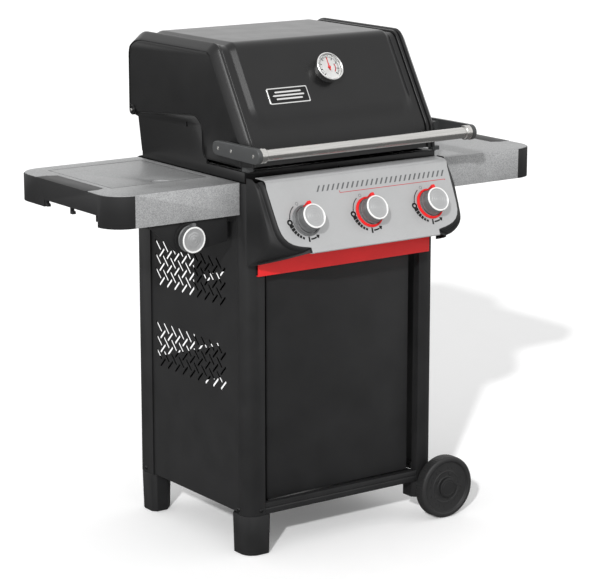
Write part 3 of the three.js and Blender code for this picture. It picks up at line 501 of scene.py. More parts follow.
DRESSED = {
    "black_paint": [
        ("post_front_left", 0.6), ("post_front_right", 0.6), ("post_rear_left", 0.6),
        ("post_rear_right", 0.6),
        ("side_panel_left", 0), ("side_panel_right", 0), ("front_bottom_rail", 0.6),
        ("rear_lower_rail", 1.2),
        ("rear_shield", 0.6), ("bottom_shelf", 0.8), ("door", 1.6),
    ],
    "plastic": [
        ("foot_front_left", 2.0), ("foot_rear_left", 2.0), ("wheel_bracket_front_right", 2.0),
        ("wheel_bracket_rear_right", 2.0), ("left_shelf_end_cap", 1.2), ("right_shelf_end_cap", 1.2),
        ("control_cap_left", 2.0), ("control_cap_right", 2.0), ("side_burner_bracket", 1.0),
        ("axle_front", 0.6), ("axle_rear", 0.6),
    ],
    "red": [("front_top_rail", 0.8), ("bezel_centre", 0.8), ("bezel_right", 0.8),
            ("thermometer_needle", 0.2)],
    "enamel": [("cookbox", 1.0), ("lid_shroud", 1.0), ("lid_end_cap_left", 2.0), ("lid_end_cap_right", 2.0)],
    "steel": [
        ("lid_hinge_rod", 0.3), ("flavour_bars", 0.4), ("burner_set", 0.4), ("warming_rack", 0),
        ("grease_tray", 0.6),
        ("catch_pan", 0.6), ("handle_tube", 0.6), ("thermometer", 0.6), ("name_plate", 0.6),
    ],
    "iron": [("cooking_grate_left", 0.8), ("cooking_grate_right", 0.8), ("side_burner", 0.8)],
    "shelf_top": [("left_shelf", 1.2), ("right_shelf", 1.2), ("side_burner_cover", 0.8)],
    "brass": [
        ("gas_manifold", 0.6), ("valve_stem_left", 0.3), ("valve_stem_centre", 0.3),
        ("valve_stem_right", 0.3),
        ("side_valve_stem", 0.3),
    ],
    "knob": [("bezel_left", 0.8), ("knob_left", 1), ("knob_centre", 1), ("knob_right", 1), ("side_knob", 1)],
    "silver": [("control_panel", 1.0)],
    "bracket": [("handle_bracket_left", 1.5), ("handle_bracket_right", 1.5)],
}

# ------------------------------------------------------------------ lid

LID_TOP = cart_mm(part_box("lid_end_cap_left")[1]).z
LID_REAR = cart_mm(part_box("lid_end_cap_left")[1]).y
LID_HALF = cart_mm(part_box("lid_end_cap_right")[1]).x
SHROUD_HALF = cart_mm(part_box("lid_shroud")[1]).x
HINGE = cart_mm(middle("lid_hinge_rod"))
LID_LIP = 977
LID_SLOPE = 0.6035
LID_FRONT_Y, LID_FRONT_Z, LID_FLARE = -256, 1034, 9
LEAN = math.degrees(math.atan(LID_SLOPE))
LID_NORMAL = Vector((0, -math.cos(math.radians(LEAN)), math.sin(math.radians(LEAN))))
LID_CREST, LID_BACK = 34, 66  # outer radii of the top's front and back edges


def lid_path(inset):
    """The lid's side outline from the front lip over the top to the back, moved inwards by inset."""
    front = LID_FRONT_Y + inset * 1.15
    crest = front + (LID_TOP - inset - LID_FRONT_Z) * LID_SLOPE
    small, big = LID_CREST - inset / 2, LID_BACK - inset
    reach = small * math.tan(math.radians((90 - LEAN) / 2))
    path = [(front - LID_FLARE, LID_LIP), (front - LID_FLARE * 0.5, LID_LIP + 28)]
    path += [(front - LID_FLARE * 0.1, LID_FRONT_Z - 5), (front + 3.2, LID_FRONT_Z + 5.3)]
    arc_front = arc(crest + reach, LID_TOP - inset - small, small, 180 - LEAN, 90, 10)
    end_z = arc_front[0][1]
    for k in range(1, 20):
        f = k / 20
        z = LID_FRONT_Z + 5.3 + (end_z - LID_FRONT_Z - 5.3) * f
        path.append((front + (z - LID_FRONT_Z) * LID_SLOPE, z))
    path += arc_front
    rear_y = LID_REAR - inset - big
    for k in range(1, 6):
        y = arc_front[-1][0] + (rear_y - arc_front[-1][0]) * k / 6
        path.append((y, LID_TOP - inset))
    path += arc(rear_y, LID_TOP - inset - big, big, 90, 0, 12)
    path.append((LID_REAR - inset, 1130))
    path.append((LID_REAR - inset - 2, HINGE.z + 6))
    return path


def blended_path(insets):
    """One path whose inset differs along its length, from a list of insets per point."""
    levels = {}
    points = []
    for i, inset in enumerate(insets):
        key = round(inset, 2)
        if key not in levels:
            levels[key] = lid_path(key)
        points.append(levels[key][i])
    return points


def make_lid_shroud():
    """The lid's sheet: a raised field with round corners, falling to the ends and to the lip."""
    field_low, field_back = 1088, 46  # the field starts at this height and ends this far from the back
    field_half, corner, chamfer_side, chamfer_low = 228, 24, 18, 28
    base = lid_path(8)
    lengths = [0.0]
    for a, b in zip(base, base[1:]):
        lengths.append(lengths[-1] + math.dist(a, b))
    start = next(s for s, (_, z) in zip(lengths, base) if z > field_low)
    finish = lengths[-1] - field_back
    xs = [-SHROUD_HALF, -SHROUD_HALF + 0.8, -256, -250.5]
    xs += [-249 + 2.2 * k for k in range(20)] + [-200, -180, -140, -90, -45, 0]
    xs += [-x for x in xs[-2::-1]]

    def rise(x, s):
        along = max(start - s, s - finish)
        qx, qs = abs(x) - (field_half - corner), along + corner
        away, down = max(qx, 0), max(qs, 0)
        distance = math.hypot(away, down) - corner + min(max(qx, qs), 0)
        width = chamfer_side + (chamfer_low - chamfer_side) * (down / max(away + down, 1e-6))
        return 1 - min(1, max(0, distance / width))

    rows = []
    for x in xs:
        edge = 1.2 if abs(x) > SHROUD_HALF - 0.4 else 0
        outer = blended_path([9.2 + edge - 8.0 * rise(x, s) for s in lengths])
        inner = lid_path(12)
        rows.append([at(x, y, z) for y, z in outer] + [at(x, y, z) for y, z in inner[::-1]])
    shape = Shape().add(loft(rows))
    make("lid_skin", shape, ["enamel"], "lid", ["lid_shroud"], angle=24)


def cap_loop(inset, low):
    """Side outline of a lid end, moved in by inset in front and on top and by low underneath."""
    insets = []
    for y, z in lid_path(0):
        weight = 1.0
        if y > LID_REAR - LID_BACK:
            weight = 0.14 + 0.86 * max(0.0, min(1.0, (z - (LID_TOP - 40)) / 38))
        insets.append(inset * weight)
    loop = blended_path(insets)[:-1]
    loop.append((LID_REAR - 0.14 * inset, HINGE.z + 2))
    loop += arc(HINGE.y, HINGE.z, 14 - low, 10, -135, 10)
    loop += [(236, 1052 + low), (180, 1057 + low), (80, 1066.5 + low), (-10, 1075 + low)]
    loop += arc(-30, 1036, 40 + low, 85, 180, 12)
    loop += [(-71 - low, 1004), (-74 - low, LID_LIP + 8 + low), (-82 - low, LID_LIP + low)]
    loop += [(-140, LID_LIP + low), (-200, LID_LIP + low)]
    return loop


RIM_X = LID_HALF - 2
RIM_IN = 18.5
# Levels of a lid end from the sheet outwards: x, inset in front and on top, inset underneath.
END_OUTSIDE = [
    (262.0, 9.5, 0), (262.6, 5.6, 0), (263.6, 4.6, 0), (268.6, 4.0, 0), (269.8, 4.6, 0), (270.4, 7.0, 0),
    (271.8, 7.0, 0), (272.3, 3.4, 0), (273.4, 1.2, 0), (275.4, 0.2, 0), (277.2, 0.0, 0), (279, 0.8, 0),
    (281, 2.3, 0.1), (285, 6.2, 0.4), (289, 10.3, 0.9), (292.4, 13.9, 1.5), (294.6, 16.6, 2.0),
    (295.7, RIM_IN, 2.4), (RIM_X, RIM_IN + 1.8, 2.6), (RIM_X - 0.3, RIM_IN + 2.4, 3.0),
    (RIM_X - 2.4, RIM_IN + 3.0, 3.4), (RIM_X - 2.8, RIM_IN + 4.0, 3.8), (RIM_X - 2.0, RIM_IN + 9, 5),
]
# The inside: back from the cheek to the open edge.
END_INSIDE = [
    (RIM_X - 5.3, 24, 6), (RIM_X - 6.5, 20.5, 4.0), (285, 10.5, 3.6), (279, 5, 3.4), (266, 8.2, 3.2),
    (262.0, 11.0, 3.0),
]
HINGE_BOSS = [
    (0, -1), (12.5, -1), (12.5, 3), (11.5, 4), (9.6, 4), (9, 2.4), (6, 2.4), (5.4, 3.6), (0, 3.8),
]


def make_lid_end(side, name):
    """A cast end: a beaded rounding, a plain cheek inside its rim, a hinge boss and a soft stop."""
    outside = [[at(side * x, y, z) for y, z in cap_loop(inset, low)] for x, inset, low in END_OUTSIDE]
    inside = [[at(side * x, y, z) for y, z in cap_loop(inset, low)] for x, inset, low in END_INSIDE]
    count = len(outside[0])
    points = [p for ring in outside + inside for p in ring]
    faces = ring_faces(len(outside), count)
    outer_last = (len(outside) - 1) * count
    faces.append([outer_last + i for i in range(count)])
    base = len(outside) * count
    faces += [[base + i for i in f] for f in ring_faces(len(inside), count)]
    faces.append([base + i for i in range(count)][::-1])
    last = base + (len(inside) - 1) * count
    for i in range(count):
        j = (i + 1) % count
        faces.append([last + i, last + j, j, i])
    shape = Shape()
    shape.add((points, faces))
    boss = axes(at(side * (LID_HALF - 4), HINGE.y, HINGE.z), (side, 0, 0), (0, 0, 1))
    shape.add(lathe(boss, HINGE_BOSS, 40), 0)
    # The stop stands under the front corner.
    stop_x, stop_y = side * 284, -256
    foot = cart_mm(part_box(f"lid_end_cap_{name}")[0]).z
    shape.add(block((stop_x - 10, -264, 969), (stop_x + 10, -244, LID_LIP + 2)), 1)
    shape.add(bar([at(stop_x, stop_y, foot), at(stop_x, stop_y, 970)], 4, 16), 1)
    make(f"lid_end_{name}", shape, ["enamel", "bracket"], "lid", [f"lid_end_cap_{name}"],
         angle=30)


GAUGE_Z = 1181
GAUGE_CASE = [
    (0, -50), (3.5, -50), (4, -48), (4, 0.5), (33, 0.5), (34.5, 1.5), (36.5, 10), (38, 19), (38, 21.5),
    (37.4, 23), (36, 24), (34.4, 24), (33.2, 23), (32.6, 21), (32.4, 17.2), (0, 17),
]
GAUGE_PRINT = (17.36, 17.5)  # printed marks, from and to, above the foot of the case


def make_thermometer():
    """A steel cup with a probe behind it, a white dial with 41 ticks and a red zone, lens and needle."""
    face_y = LID_FRONT_Y + 2.3 + (GAUGE_Z - LID_FRONT_Z) * LID_SLOPE
    origin = at(cart_mm(middle("thermometer_needle")).x, face_y, GAUGE_Z)
    place = axes(origin, LID_NORMAL, (0, 0, 1))
    shape = Shape()
    shape.add(lathe(place, GAUGE_CASE, 64), 0)
    shape.add(lathe(place, [(0, 17), (32.4, 17), (32.4, 17.35), (0, 17.35)], 64), 1)
    for k in range(41):
        inner, half = (21, 1.1) if k % 5 == 0 else (25, 0.5)
        tick = place @ Matrix.Rotation(math.radians(225 - 270 * k / 40), 4, "Z")
        mark = [(inner, -half), (29.5, -half), (29.5, half), (inner, half)]
        shape.add(slab(tick, mark, *GAUGE_PRINT), 2)
    zone = [polar(17, a) for a in range(-45, 30, 5)] + [polar(19.5, a) for a in range(25, -50, -5)]
    shape.add(slab(place, zone, *GAUGE_PRINT), 3)
    make("thermometer_case", shape, ["polished", "dial", "ink", "ink_red"], "lid", ["thermometer"],
         angle=30)
    lens = Shape().add(lathe(place, [(0, 21.4), (32.3, 21), (32.3, 21.8), (16, 22.6), (0, 22.9)], 64))
    make("thermometer_lens", lens, ["glass"], "lid")
    hand = Shape()
    hand.add(slab(place, [(-1.7, -9), (1.7, -9), (0.5, 27), (-0.5, 27)], 18, 18.8), 0)
    hand.add(lathe(place, [(0, 17.6), (4.2, 17.6), (4.2, 19), (3, 20), (0, 20.2)], 24), 0)
    make("thermometer_hand", hand, ["red"], "needle", ["thermometer_needle"], angle=30)


def rounded_box(half_x, half_y, radius, steps=6):
    loop = []
    for cx, cy, start in ((1, 1, 0), (-1, 1, 90), (-1, -1, 180), (1, -1, 270)):
        loop += arc(cx * (half_x - radius), cy * (half_y - radius), radius, start, start + 90, steps)
    return loop


def make_name_plate():
    """A blank plate with an inked field and three plain raised bars."""
    low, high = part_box("name_plate")
    place = axes(middle("name_plate"), LID_NORMAL, (0, 0, 1))
    half_x = (high.x - low.x) / 2 / MM
    shape = Shape()
    shape.add(soft_slab(place, rounded_box(half_x, 21.5, 4), -1.5, 1.2, 0.8), 0)
    shape.add(slab(place, rounded_box(half_x - 3, 18.5, 3), 1.15, 1.35), 1)
    for row in (-9, 0, 9):
        reach = half_x - 14 - abs(row) * 0.8
        line = [(x, y + row) for x, y in rounded_box(reach, 2.4, 2.2, 4)]
        shape.add(soft_slab(place, line, 1.3, 2.6, 0.7, 3), 0)
    make("lid_plate", shape, ["polished", "ink"], "lid", ["name_plate"], angle=35)


TUBE_RADIUS = 14


def make_handle():
    """The handle's tube with a stepped ferrule at each end."""
    low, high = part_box("handle_tube")
    axis = cart_mm((low + high) / 2)
    half = (high.x - low.x) / 2 / MM
    place = axes(at(0, axis.y, axis.z), (1, 0, 0), (0, 0, 1))
    steps = [(0, 0), (17, 0), (18, 1), (18, 5), (17, 5.8), (17, 7.2), (18, 8), (18, 15.5), (17, 17),
             (TUBE_RADIUS + 0.6, 18), (TUBE_RADIUS, 18.4)]
    ferrule = [(r, d - half) for r, d in steps]
    tube = [(TUBE_RADIUS, x) for x in (-140, 0, 140)]
    profile = ferrule + tube + [(r, -h) for r, h in ferrule[::-1]]
    make("handle_bar", Shape().add(lathe(place, profile, 64)), ["steel"], "lid", ["handle_tube"],
         angle=30)


ARM_X, ARM_Z = 318.5, 1022
ARM_SCREW = [(0, -1), (4.4, -1), (4.4, 0.3), (3.6, 0.9), (2.2, 0.9), (2.0, 0.3), (0, 0.3)]


def make_handle_bracket(side, name):
    """A flat arm from the lid's end to the tube, with three screws and a block against the lid."""
    place = axes(at(side * ARM_X, 0, 0), (side, 0, 0), (0, 0, 1))
    # In this frame x runs along the cart's y (mirrored on the left), y is up.
    front = arc(-350, ARM_Z, 19, 90, 270, 14) + [(-262, 1003.4), (-200, 1004.4)]
    back = arc(-187, ARM_Z, 17, -82, 82, 12) + [(-200, 1039.6), (-262, 1040.6)]
    outline = [(y * side, z) for y, z in front + back]
    if loop_area(outline) < 0:
        outline = outline[::-1]
    shape = Shape()
    shape.add(soft_slab(place, outline, 0, 11.5, 2.6), 0)
    for y in (-196, -252, -345):
        seat = axes(at(side * 329.9, y, ARM_Z), (side, 0, 0), (0, 0, 1))
        shape.add(lathe(seat, ARM_SCREW, 20), 1)
    ends = (side * 298.4, side * 319)
    shape.add(block((min(ends), -230, 1009), (max(ends), -188, 1035)), 0)
    make(f"handle_arm_{name}", shape, ["bracket", "steel"], "lid", [f"handle_bracket_{name}"],
         angle=35)


def loop_area(loop):
    return sum(a[0] * b[1] - b[0] * a[1] for a, b in zip(loop, loop[1:] + loop[:1])) / 2


# ------------------------------------------------------------------ control panel

PANEL_TILT = math.radians(27.1)
PANEL_NORMAL = Vector((0, -math.cos(PANEL_TILT), math.sin(PANEL_TILT)))
PANEL_Y, PANEL_Z = -361, 856


def panel_y(z):
    """How far forward the sloping sheet stands at a height."""
    return PANEL_Y + (z - PANEL_Z) * math.tan(PANEL_TILT)


def panel_place(x, z=PANEL_Z, lift=0.0):
    spot = at(x, panel_y(z), z) + PANEL_NORMAL * lift * MM
    return axes(spot, PANEL_NORMAL, (0, 0, 1))


PANEL_EDGE = [
    (781, 194), (796.5, 194), (798.5, 205), (800.5, 217), (803.5, 230), (808, 243), (815, 254.5),
    (824, 262.5), (835, 267.8), (850, 270.5), (870, 271.8), (891, 272.8), (920, 274), (947, 275),
]


def half_width(z):
    """Half width of the silver panel at a height."""
    for (z0, w0), (z1, w1) in zip(PANEL_EDGE, PANEL_EDGE[1:]):
        if z <= z1:
            return w0 + (w1 - w0) * max(0, z - z0) / (z1 - z0)
    return PANEL_EDGE[-1][1]


def grid_sheet(rows, thickness, outward):
    """A sheet through rows of points whose face looks outward, thickened on the other side."""
    a, b, c = rows[len(rows) // 2][0], rows[len(rows) // 2][-1], rows[len(rows) // 2 + 1][0]
    if (b - a).cross(c - a).dot(Vector(outward)) < 0:
        rows = [row[::-1] for row in rows]
    count = len(rows[0])
    faces = ring_faces(len(rows), count, closed=False)
    mesh = bpy.data.meshes.new("grid")
    mesh.from_pydata([p for row in rows for p in row], [], faces)
    normals = [v.normal.copy() for v in mesh.vertices]
    points = [v.co.copy() for v in mesh.vertices]
    bpy.data.meshes.remove(mesh)
    total = len(points)
    back = [p - n * thickness * MM for p, n in zip(points, normals)]
    faces += [[total + i for i in face[::-1]] for face in faces]
    last = (len(rows) - 1) * count
    for i in range(count - 1):
        faces.append([i + 1, i, total + i, total + i + 1])
        faces.append([last + i, last + i + 1, total + last + i + 1, total + last + i])
    for r in range(len(rows) - 1):
        a, b = r * count, (r + 1) * count
        faces.append([a, b, total + b, total + a])
        a, b = a + count - 1, b + count - 1
        faces.append([b, a, total + a, total + b])
    return points + back, faces


PANEL_LEVELS = (
    798.5, 800.5, 803.5, 806, 808, 811, 815, 819, 824, 829, 835, 842, 850, 860, 870, 880, 891, 905, 920, 934,
)
PANEL_ACROSS = (-1, -0.985, -0.96, -0.9, -0.7, -0.4, 0, 0.4, 0.7, 0.9, 0.96, 0.985, 1)


def make_control_panel():
    """The silver sheet: a lip at the bottom, the sloping face, then rounded over and level at the back."""
    profile = [(-372, 780.6), (-384, 780.4), (-392, 780.8), (-395.6, 782.2), (-396.9, 784.6)]
    profile += [(panel_y(z) + (797 - z) * 0.16, z) for z in (788, 793, 796.6)]
    profile += [(panel_y(z), z) for z in PANEL_LEVELS]
    bend = arc(-304.5, 937.5, 17, 180 - math.degrees(PANEL_TILT), 92, 9)
    shift_y = panel_y(940) - bend[0][0]
    profile += [(y + shift_y * (1 - k / 9), z) for k, (y, z) in enumerate(bend)]
    profile += [(-292, 955.2), (-278, 955.4), (-272, 955.4)]
    rows = []
    for y, z in profile:
        w = half_width(z)
        rows.append([at(w * f, y, z) for f in PANEL_ACROSS])
    shape = Shape().add(grid_sheet(rows, 1.8, (0, -1, 0)))
    make("panel_sheet", shape, ["silver"], "cart", ["control_panel"], bevel=0.5, angle=40)
    make_panel_print()


# Printed marks stand a hair off the sheet; each colour has its own height.
INK_FOOT, INK_GREY, INK_RED, INK_BLACK, INK_RING = 0.03, 0.22, 0.24, 0.26, 0.28
DIAL_RADIUS = 46.5


def flat_arc(radius, start, end, half, steps=10):
    """The outline of a band along an arc."""
    outer = arc(0, 0, radius + half, start, end, steps)
    return outer + arc(0, 0, radius - half, end, start, steps)


def flat_ring(place, centre, radius, half):
    """A thin printed ring round a flat point of the frame."""
    spot = place @ Matrix.Translation((centre[0] * MM, centre[1] * MM, 0))
    inner, outer = radius - half, radius + half
    return turned_ring(spot, [(inner, 0.05), (outer, 0.05), (outer, INK_RING), (inner, INK_RING)], 28)


def add_dial(shape, dial):
    """The marks round one knob: off at the left, a growing scale, an arrow, low and a drop."""
    def mark(outline):
        shape.add(slab(dial, outline, INK_FOOT, INK_BLACK), 0)

    shape.add(flat_ring(dial, (-48, 0), 5.7, 2.3), 0)
    shape.add(flat_ring(dial, polar(DIAL_RADIUS, 108), 3.6, 0.45), 1)
    for k in range(6):
        begin = 188 + k * 10.4
        mark(flat_arc(DIAL_RADIUS, begin, begin + 9.0 - k * 0.4, 5.8 - k * 0.6, 4))
    mark(flat_arc(DIAL_RADIUS, 124, 166, 1.1, 12))
    root, tip = polar(DIAL_RADIUS, 166), polar(DIAL_RADIUS, 171)
    inner, outer = [(root[0] * s, root[1] * s) for s in (0.955, 1.045)]
    mark([outer, tip, inner])
    mark(flat_arc(DIAL_RADIUS, 260, 265.5, 6.8, 3))
    mark(flat_arc(DIAL_RADIUS, 269, 290, 1.9, 8))
    drop = ((295, 0.88), (304, 1.0), (295, 1.12), (291, 1.0))
    mark([polar(DIAL_RADIUS * s, a) for a, s in drop])


def make_panel_print():
    """Flat printed marks: slanted hatching, a thin line and the scale round each knob."""
    shape = Shape()
    place = panel_place(0)
    up = (922 - PANEL_Z) / math.cos(PANEL_TILT)
    half, tall, lean = 2.5, 7.6, 5.0
    first, span, count = -129, 382, 27
    for i in range(count):
        x = first + span * i / (count - 1)
        low, high = (x - lean, up - tall), (x + lean, up + tall)
        hatch = [(low[0] - half, low[1]), (low[0] + half, low[1])]
        hatch += [(high[0] + half, high[1]), (high[0] - half, high[1])]
        shape.add(slab(place, hatch, INK_FOOT, INK_GREY), 1)
    rule = (907.5 - PANEL_Z) / math.cos(PANEL_TILT)
    line = [(-70, rule - 0.7), (256, rule - 0.7), (256, rule + 0.7), (-70, rule + 0.7)]
    shape.add(slab(place, line, INK_FOOT, INK_RED), 2)
    # The line turns up at its left end and down at its right end.
    for x, sign, tall in ((-70, 1, 5.5), (254.6, -1, 3.0)):
        end = rule + sign * tall
        tick = [(x, rule - 0.7), (x + 1.5, rule - 0.7), (x + 1.5, end), (x, end)]
        shape.add(slab(place, tick[::sign], INK_FOOT, INK_RED), 2)
    for name in ("left", "centre", "right"):
        add_dial(shape, panel_place(cart_mm(middle(f"bezel_{name}")).x))
    make("panel_print", shape, ["ink", "ink_grey", "ink_red"], "cart", angle=40)


KNOB_PROFILE = [
    (0, 7), (27.5, 7), (29.4, 7.6), (30, 9), (30.1, 11.5), (29.5, 13), (28.9, 14), (28.9, 15),
    (29.2, 16), (28.8, 30),
    (28.6, 33.2), (27.6, 33.6), (25.2, 33.8), (0, 33.8),
]
KNOB_FACE = [
    (0, 33.5), (25.6, 33.5), (25.6, 35.2), (24.6, 35.0), (23.8, 34.4), (23.2, 34.25), (18, 34.5),
    (17.7, 34.2),
    (17.3, 34.5), (12, 34.7), (11.7, 34.4), (11.3, 34.7), (6, 34.8), (5.7, 34.5), (5.3, 34.8), (0, 34.85),
]
KNOB_RING = [
    (25.1, 34.6), (25.5, 35.6), (26.4, 36.15), (27.6, 36.1), (28.6, 35.3), (29, 34), (28.7, 33),
    (26.8, 33.4), (25.2, 33.6),
]
# A red pointer along the top, widening towards the face: height, half width, reach.
KNOB_POINTER = ((8, 1.5, 30.6), (14, 2.0, 32.6), (28, 3.6, 35.6), (33.5, 4.6, 36.8), (35.2, 4.6, 36.0))
KNOB_FOOT = 7  # the profiles start at this height
KNOB_SCALE = 32 / 30.1
KNOB_DEPTH = 33 / 29.2  # the profile stands 29 mm proud of its foot, the solid 33 mm
KNOB_RIBS = 36
BEZEL_RING = [
    (33.6, 0.4), (38.9, 0.4), (39, 2.2), (38.2, 3.6), (37.2, 4.0), (36.7, 3.4), (36.2, 3.6), (35.9, 5.4),
    (35.0, 6.2), (34.0, 6.0), (33.6, 5.2),
]


def knob_shape(place, scale, depth, lift):
    """A ribbed knob with a ringed face and a pointer; its foot stands lift above the frame."""
    def level(h):
        return (h - KNOB_FOOT) * depth + lift

    def fit(profile):
        return [(r * scale, level(h)) for r, h in profile]

    knob = Shape()
    # The ribbed side gets the darker knob silver, which is painted shade; the face gets the lighter knob
    # silver.
    knob.add(lathe(place, fit(KNOB_PROFILE), 72), 0)
    knob.add(lathe(place, fit(KNOB_FACE), 72), 1)
    knob.add(turned_ring(place, fit(KNOB_RING), 72), 2)
    rib = [(28.4 * scale, -0.5), (29.5 * scale, -0.35), (29.5 * scale, 0.35), (28.4 * scale, 0.5)]
    for k in range(KNOB_RIBS):
        # The rib at the top is left out, since the pointer is there.
        if k != KNOB_RIBS // 4:
            turn = place @ Matrix.Rotation(2 * math.pi * k / KNOB_RIBS, 4, "Z")
            knob.add(slab(turn, rib, level(17), level(31.5)), 0)
    levels = []
    for h, half, tall in KNOB_POINTER:
        corners = [(-half, 27.4), (half, 27.4), (half, tall - 0.6), (half * 0.6, tall),
                   (-half * 0.6, tall), (-half, tall - 0.6)]
        ring = [Vector((x * scale * MM, y * scale * MM, level(h) * MM)) for x, y in corners]
        levels.append([place @ corner for corner in ring])
    knob.add(loft(levels), 3)
    return knob


def make_knob(name, bezel_look, body):
    """A front knob, its pointer 8 degrees past the top, and the bezel ring round it."""
    place = panel_place(cart_mm(middle(f"bezel_{name}")).x)
    tipped = place @ Matrix.Rotation(math.radians(8), 4, "Z")
    knob = knob_shape(tipped, KNOB_SCALE, KNOB_DEPTH, KNOB_FOOT)
    make(f"knob_turned_{name}", knob, ["barrel", "knob", "white_ring", "red"], body, [f"knob_{name}"],
         angle=28)
    bezel = Shape().add(turned_ring(place, BEZEL_RING, 72))
    make(f"bezel_ring_{name}", bezel, [bezel_look], "cart", [f"bezel_{name}"],
         angle=30)


def make_side_knob():
    """The side burner's knob, without a coloured pointer."""
    low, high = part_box("side_knob")
    centre = middle("side_knob")
    place = axes(Vector((centre.x, high.y, centre.z)), (0, -1, 0), (0, 0, 1))
    scale = (high.x - low.x) / 2 / MM / 30.2
    depth = (high.y - low.y) / MM / 29.4
    make("side_knob_turned", knob_shape(place, scale, depth, 0.0),
         ["barrel", "knob", "white_ring", "barrel"],
         "knob_side", ["side_knob"], angle=28)


# Pairs along a panel end: half width and height on the silver edge, then y and z on the outer side.
CAP_PAIRS = [
    (275, 950.5, -284, 954), (275, 944, -293, 945), (274.5, 934, -301, 933), (274, 920, -312, 919),
    (273.4, 905, -320, 905), (272.8, 891, -328, 890), (272.3, 880, -333, 878), (271.8, 870, -337, 867),
    (271, 860, -341, 856), (270.5, 850, -345, 845), (269, 842, -348, 835), (267.8, 835, -351, 826),
    (265.4, 829, -353, 818), (262.5, 824, -354, 811), (258.8, 819, -353, 804.5), (254.5, 815, -350, 798),
    (249, 811, -345.5, 791.5), (243, 808, -339.5, 785), (236.6, 805.6, -332, 778), (230, 803.5, -323, 771),
    (223.4, 801.8, -314, 765), (217, 800.5, -304.5, 759.6), (211, 799.4, -295, 755),
    (205, 798.5, -286, 750.6), (199.6, 797.8, -277, 746), (195.4, 796, -269, 742),
    (194.7, 791, -262, 738.4), (194.7, 786, -261, 737.8),
]
CAP_X, CAP_REAR_Y, BEAD = 292.0, -259.6, 8.5


def cap_row(side, i, edge):
    """One section of a panel end: under the sheet, round the bead, over a groove and out to the side."""
    last = len(CAP_PAIRS) - 1
    x, _, side_y, side_z = CAP_PAIRS[i]
    along = (edge[min(i + 1, last)] - edge[max(i - 1, 0)]).normalized()
    out = along.cross(PANEL_NORMAL).normalized() * -side
    back = -PANEL_NORMAL
    # The bead thins out over the last five sections and stays inside the outer side.
    size = BEAD if i < last - 5 else max(1.5, BEAD - 2.2 * (i - last + 5))
    size = min(size, CAP_X - x - 6)
    row = [edge[i] - out * 7 * MM + back * 2 * MM, edge[i] + out * 0.3 * MM]
    for k in range(1, 8):
        turn = math.radians(90 * k / 7)
        sideways, inwards = 0.3 + size * math.sin(turn), size * (1 - math.cos(turn))
        row.append(edge[i] + out * sideways * MM + back * inwards * MM)
    row.append(edge[i] + out * (size + 0.1) * MM + back * (size + 2.4) * MM)
    start = edge[i] + out * (size + 1.2) * MM + back * (size + 3.6) * MM
    finish = at(side * CAP_X, side_y, side_z)
    pull = (0.86, 0.34, 0.52)  # how far towards the finish the curve's middle is drawn, per axis
    control = Vector([a + (b - a) * f for a, b, f in zip(start, finish, pull)])
    for k in range(13):
        f = k / 12
        row.append(start * (1 - f) ** 2 + control * 2 * f * (1 - f) + finish * f ** 2)
    reach = CAP_REAR_Y - side_y
    row += [at(side * CAP_X, side_y + reach * f, side_z) for f in (0.25, 0.6, 1)]
    return row


def make_control_cap(side, name):
    """The moulded end of the control panel: a bead along the silver edge, then a full curve to the side."""
    edge = []
    for x, z, _, _ in CAP_PAIRS:
        y = panel_y(z) + 1.2 + max(0, z - 944) * 1.6
        edge.append(at(side * x, y, z))
    rows = [cap_row(side, i, edge) for i in range(len(CAP_PAIRS))]
    shape = Shape().add(grid_sheet(rows, 2.2, (side, -1, 0)))
    make(f"panel_end_{name}", shape, ["plastic"], "cart", [f"control_cap_{name}"], angle=60)


# ------------------------------------------------------------------ screws, and the painted shade of the cover's gap


SCREW_HEAD = [(0, -1.5), (5.2, -1.5), (5.6, 0.2), (5.0, 1.4), (3.4, 2.3), (2.6, 2.4), (2.3, 1.0), (0, 0.9)]
SCREW_Z = 114


def make_screws():
    """Socket screws near the foot of each corner post, on its side and its front or back."""
    shape = Shape()
    for sign_x in (-1, 1):
        for sign_y in (-1, 1):
            side = axes(at(sign_x * 291.2, sign_y * 217, SCREW_Z), (sign_x, 0, 0), (0, 0, 1))
            shape.add(lathe(side, SCREW_HEAD, 20), 0)
            front = axes(at(sign_x * 250.5, sign_y * 258.2, SCREW_Z), (0, sign_y, 0), (0, 0, 1))
            shape.add(lathe(front, SCREW_HEAD, 20), 0)
    make("post_screws", shape, ["enamel"], "cart", angle=30)


def make_gap_shade_strips():
    """Black strips round the side burner's flush cover, painted shade for its narrow gap."""
    low, high = (cart_mm(corner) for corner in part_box("side_burner_cover"))
    top = cart_mm(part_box("left_shelf")[1]).z
    gap = 1.1
    strips = [
        (low.x - gap, low.x, low.y - gap, high.y + gap), (high.x, high.x + gap, low.y - gap, high.y + gap),
        (low.x, high.x, low.y - gap, low.y), (low.x, high.x, high.y, high.y + gap),
    ]
    shape = Shape()
    # The strips are black ink laid on the shelf where the gap would lie in shade: painted shade.
    for x0, x1, y0, y1 in strips:
        shape.add(block((x0, y0, top - 0.6), (x1, y1, top + 0.12)), 0)
    make("cover_gap_painted_shade", shape, ["ink"], "cart", angle=30)


# ------------------------------------------------------------------ wheels

WHEEL_RADIUS = 82
AXLE_HEAD = [
    (6, -3.2), (25.4, -3.2), (26, -2.4), (25.6, -1.4), (24, -0.7), (20, -0.3), (19, -0.9), (18, -0.9),
    (17, -0.2), (8, 0), (0, 0),
]
WHEEL_FACE = [
    (82, -8), (81.2, -4.5), (79.5, -2), (77, -0.6), (73.5, 0), (70.5, -0.4), (68.4, -2), (67.6, -4.4),
    (66, -6.2), (60, -6.8), (44, -6.8), (42.6, -5.8), (40.4, -5.8), (39, -6.8), (32, -7.4), (29.5, -7),
    (28.6, -5.2), (27.6, -4.6), (6.6, -4.6),
]
TREAD_STEPS = 288


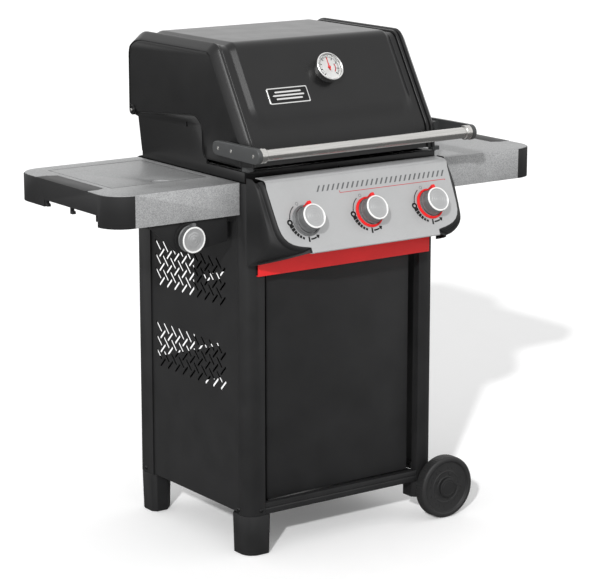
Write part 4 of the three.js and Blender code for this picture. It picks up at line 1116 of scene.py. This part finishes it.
def wheel_tyre(place, width, radius):
    """The wheel as one ring with fine cross grooves in its running face."""
    w = -width
    back = [(6.6, w), (60, w), (62, w + 1), (76, w + 1), (79, w + 2), (81, w + 4), (82, w + 7)]
    profile = [(r * radius / WHEEL_RADIUS, h) for r, h in back + WHEEL_FACE]
    rings = []
    for i in range(TREAD_STEPS):
        angle = 2 * math.pi * i / TREAD_STEPS
        groove = 0.9 if i % 4 in (0, 1) else 0.0
        rings.append([turned(place, r - groove if r > 81.5 else r, angle, h) for r, h in profile])
    return hoop(rings)


def make_wheel(name, sign):
    """A wheel with pads and ribs on its outer face, and its axle bolt; sign is towards its outer face."""
    low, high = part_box(f"wheel_{name}")
    centre = (low + high) / 2
    face = Vector((centre.x, low.y if sign < 0 else high.y, centre.z))
    place = axes(face, (0, sign, 0), (0, 0, 1))
    wheel = Shape().add(wheel_tyre(place, (high.y - low.y) / MM, (high.x - low.x) / 2 / MM))
    for k in range(24):
        turn = place @ Matrix.Rotation(2 * math.pi * (k + 0.5) / 24, 4, "Z")
        if k % 6:
            pad = [(49, -2.1), (53.4, -2.1), (53.4, 2.1), (49, 2.1)]
            wheel.add(soft_slab(turn, pad, -7.2, -5.6, 0.5, 2), 0)
    for k in range(5):
        turn = place @ Matrix.Rotation(2 * math.pi * k / 5, 4, "Z")
        wheel.add(soft_slab(turn, [(31, -3), (40, -4), (40, 4), (31, 3)], -7.8, -5.9, 0.5, 2), 0)
    make(f"wheel_moulded_{name}", wheel, ["rubber"], f"wheel_{name}", [f"wheel_{name}"],
         angle=28)
    axle_low, axle_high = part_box(f"axle_{name}")
    inside, outside = (axle_high.y, axle_low.y) if sign < 0 else (axle_low.y, axle_high.y)
    length = abs(outside - inside) / MM
    place = axes(Vector((centre.x, outside, centre.z)), (0, sign, 0), (0, 0, 1))
    pin = [(0, -length), (5, -length), (6, -length + 1)]
    shape = Shape().add(lathe(place, pin + AXLE_HEAD, 56))
    make(f"axle_bolt_{name}", shape, ["plastic"], "cart", [f"axle_{name}"], angle=28)


# ------------------------------------------------------------------ the whole scene

add_camera()
add_stage()
for look, entries in DRESSED.items():
    for node, bevel in entries:
        dress(node, look, bevel)
make_lid_shroud()
make_handle()
for side, name in ((-1, "left"), (1, "right")):
    make_lid_end(side, name)
    make_handle_bracket(side, name)
    make_control_cap(side, name)
make_thermometer()
make_screws()
make_gap_shade_strips()
make_name_plate()
make_control_panel()
make_knob("left", "barrel", "knob_left")
make_knob("centre", "red", "knob_centre")
make_knob("right", "red", "knob_right")
make_side_knob()
make_wheel("front", -1)
make_wheel("rear", 1)
